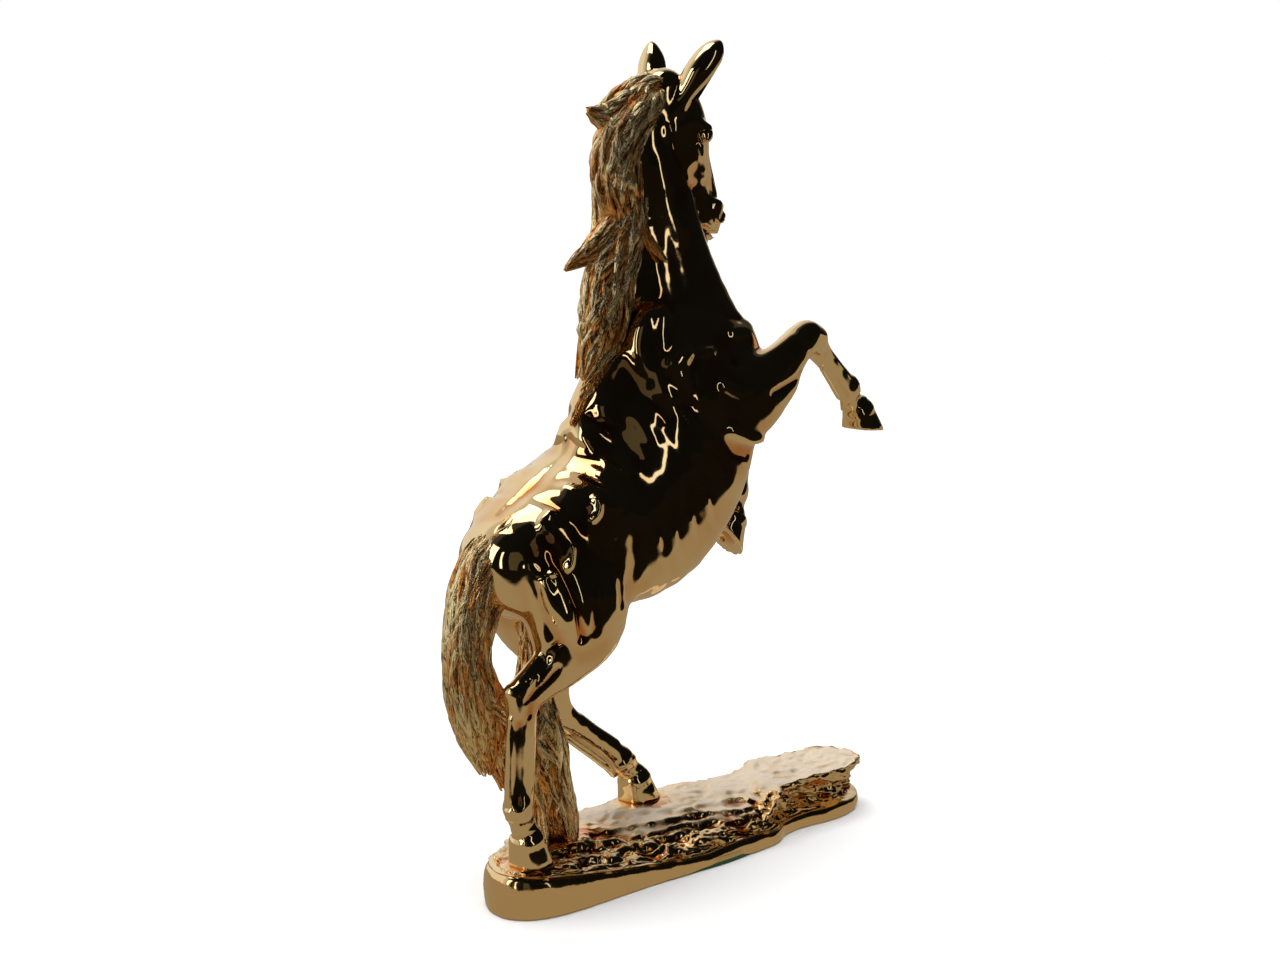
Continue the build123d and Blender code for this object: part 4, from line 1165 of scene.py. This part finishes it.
def makeMaterials():
    tone, strands = toneGroup(), strandGroup()
    made = {"mirror_bronze": castMetal("mirrorBronze", tone, 0.00002)[0]}
    # the hair's bronze is paler and brighter than the body's, as painted light; its deep colour is painted shade
    hair, tree, shader, surface, bump = castMetal("chasedBronze", tone, 0.0009, Polish=0.03, Smudge=0.05,
                                                  Bright=finishesAndShades["hair"], Deep=finishesAndShades["hairShade"])
    shader.inputs["Metallic"].default_value = 0.9
    fine = placeGroup(tree, strands)
    tree.links.new(fine.outputs["Height"], bump.inputs["Height"])
    bump.inputs["Strength"].default_value = 0.8
    # painted shade: the low parts of the strand pattern, between the strands, turn dark brown
    grooveShade = add(tree, "MapRange", {"interpolation_type": "SMOOTHSTEP"}, Value=fine.outputs["Height"],
                 From_Min=0.37, From_Max=0.50).outputs["Result"]
    grooveShadedColour = add(tree, "Mix", {"data_type": "RGBA"}, i0=grooveShade, i6=finishesAndShades["hairGrooveShade"],
                 i7=surface.outputs["Color"])
    tree.links.new(grooveShadedColour.outputs[2], shader.inputs["Base Color"])
    made["chased_bronze"] = hair
    rock, tree, shader, surface, bump = castMetal("rockBronze", tone, 0.0002, Polish=0.05, Smudge=0.1,
                                                  Grain_Scale=420.0, Bright=finishesAndShades["rock"],
                                                  Deep=finishesAndShades["rockShade"])
    # painted sheen on the rock's upward faces: in patches the colour turns pale cream, rougher and less metallic; the
    # deep colour is painted shade
    paintedSheen = add(tree, "Attribute", {"attribute_name": "paintedSheen"}).outputs["Fac"]
    patch = add(tree, "TexNoise", Vector=add(tree, "TexCoord").outputs["Object"], Scale=90.0, Detail=4.0)
    sheenPatches = add(tree, "Math", {"operation": "MULTIPLY", "use_clamp": True}, i0=paintedSheen, i1=patch.outputs["Fac"])
    sheenPatches = add(tree, "MapRange", Value=sheenPatches.outputs[0], From_Min=0.12, From_Max=0.5).outputs["Result"]
    pale = add(tree, "Mix", {"data_type": "RGBA"}, i0=sheenPatches, i6=surface.outputs["Color"], i7=finishesAndShades["sheenColour"])
    dull = add(tree, "Math", {"operation": "MULTIPLY_ADD"}, i0=sheenPatches, i1=0.42, i2=surface.outputs["Roughness"])
    metal = add(tree, "Math", {"operation": "MULTIPLY_ADD"}, i0=sheenPatches, i1=-0.75, i2=1.0)
    tree.links.new(pale.outputs[2], shader.inputs["Base Color"])
    tree.links.new(metal.outputs[0], shader.inputs["Metallic"])
    tree.links.new(dull.outputs[0], shader.inputs["Roughness"])
    made["rock_bronze"] = rock
    made["plate_brass"] = castMetal("plateBrass", tone, 0.00006, paintedShade=False, Bright=finishesAndShades["brass"],
                                    Polish=0.22, Smudge=0.12, Grain_Scale=260.0)[0]
    made["pin_bronze"] = castMetal("pinBronze", tone, 0.00005, paintedShade=False, Bright=finishesAndShades["pin"],
                                   Polish=0.26, Smudge=0.14, Grain_Scale=500.0)[0]
    made["zinc_steel"] = castMetal("zincSteel", tone, 0.00004, paintedShade=False, Bright=finishesAndShades["zinc"],
                                   Deep=finishesAndShades["zincBlue"], Recess=0.4, Polish=0.24, Smudge=0.12)[0]
    felt, tree, shader = newMaterial("greenFelt", metallic=0.0)
    place = add(tree, "TexCoord").outputs["Object"]
    fibres = add(tree, "TexNoise", Vector=place, Scale=1500.0, Detail=4.0, Roughness=0.7)
    clumps = add(tree, "TexNoise", Vector=place, Scale=160.0, Detail=3.0)
    nap = add(tree, "Mix", {"data_type": "RGBA"}, i0=clumps.outputs["Fac"], i6=finishesAndShades["felt"],
              i7=finishesAndShades["feltPale"])
    bump = add(tree, "Bump", Strength=0.7, Distance=0.0003, Height=fibres.outputs["Fac"])
    tree.links.new(nap.outputs[2], shader.inputs["Base Color"])
    tree.links.new(bump.outputs["Normal"], shader.inputs["Normal"])
    shader.inputs["Roughness"].default_value = 1
    shader.inputs["Sheen Weight"].default_value = 0.3
    made["green_felt"] = felt
    return made


makeCamera()
makeStage()
makeLights()
makeWorld()
materials = makeMaterials()
stoodFor = {"torso": "torso_casting", "neck": "neck_casting", "head": "head_casting",
            "rightHind": "right_hind_leg", "leftHind": "left_hind_leg",
            "rightFore": "right_foreleg", "leftFore": "left_foreleg"}
for name, made in makeCastings().items():
    made.data.materials.append(materials["mirror_bronze"])
    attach(made, "root")
    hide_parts(stoodFor[name])
for name, bundles, node in (("mane", maneBundles, "mane_casting"), ("tail", tailBundles, "tail_casting")):
    made = makeHair(name, bundles)
    made.data.materials.append(materials["chased_bronze"])
    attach(made, "root")
    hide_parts(node)
rock = makeBase()
rock.data.materials.append(materials["rock_bronze"])
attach(rock, "root")
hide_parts("rock_base")
slots = {"felt_sheet": "green_felt", "bottom_plate": "plate_brass", "plate_screws": "zinc_steel",
         "hind_hoof_studs": "zinc_steel", "tail_stud": "zinc_steel", "stud_washers": "zinc_steel",
         "stud_nuts": "zinc_steel"}
for node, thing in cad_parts.items():
    thing.data.materials.clear()
    thing.data.materials.append(materials[slots.get(node, "pin_bronze")])
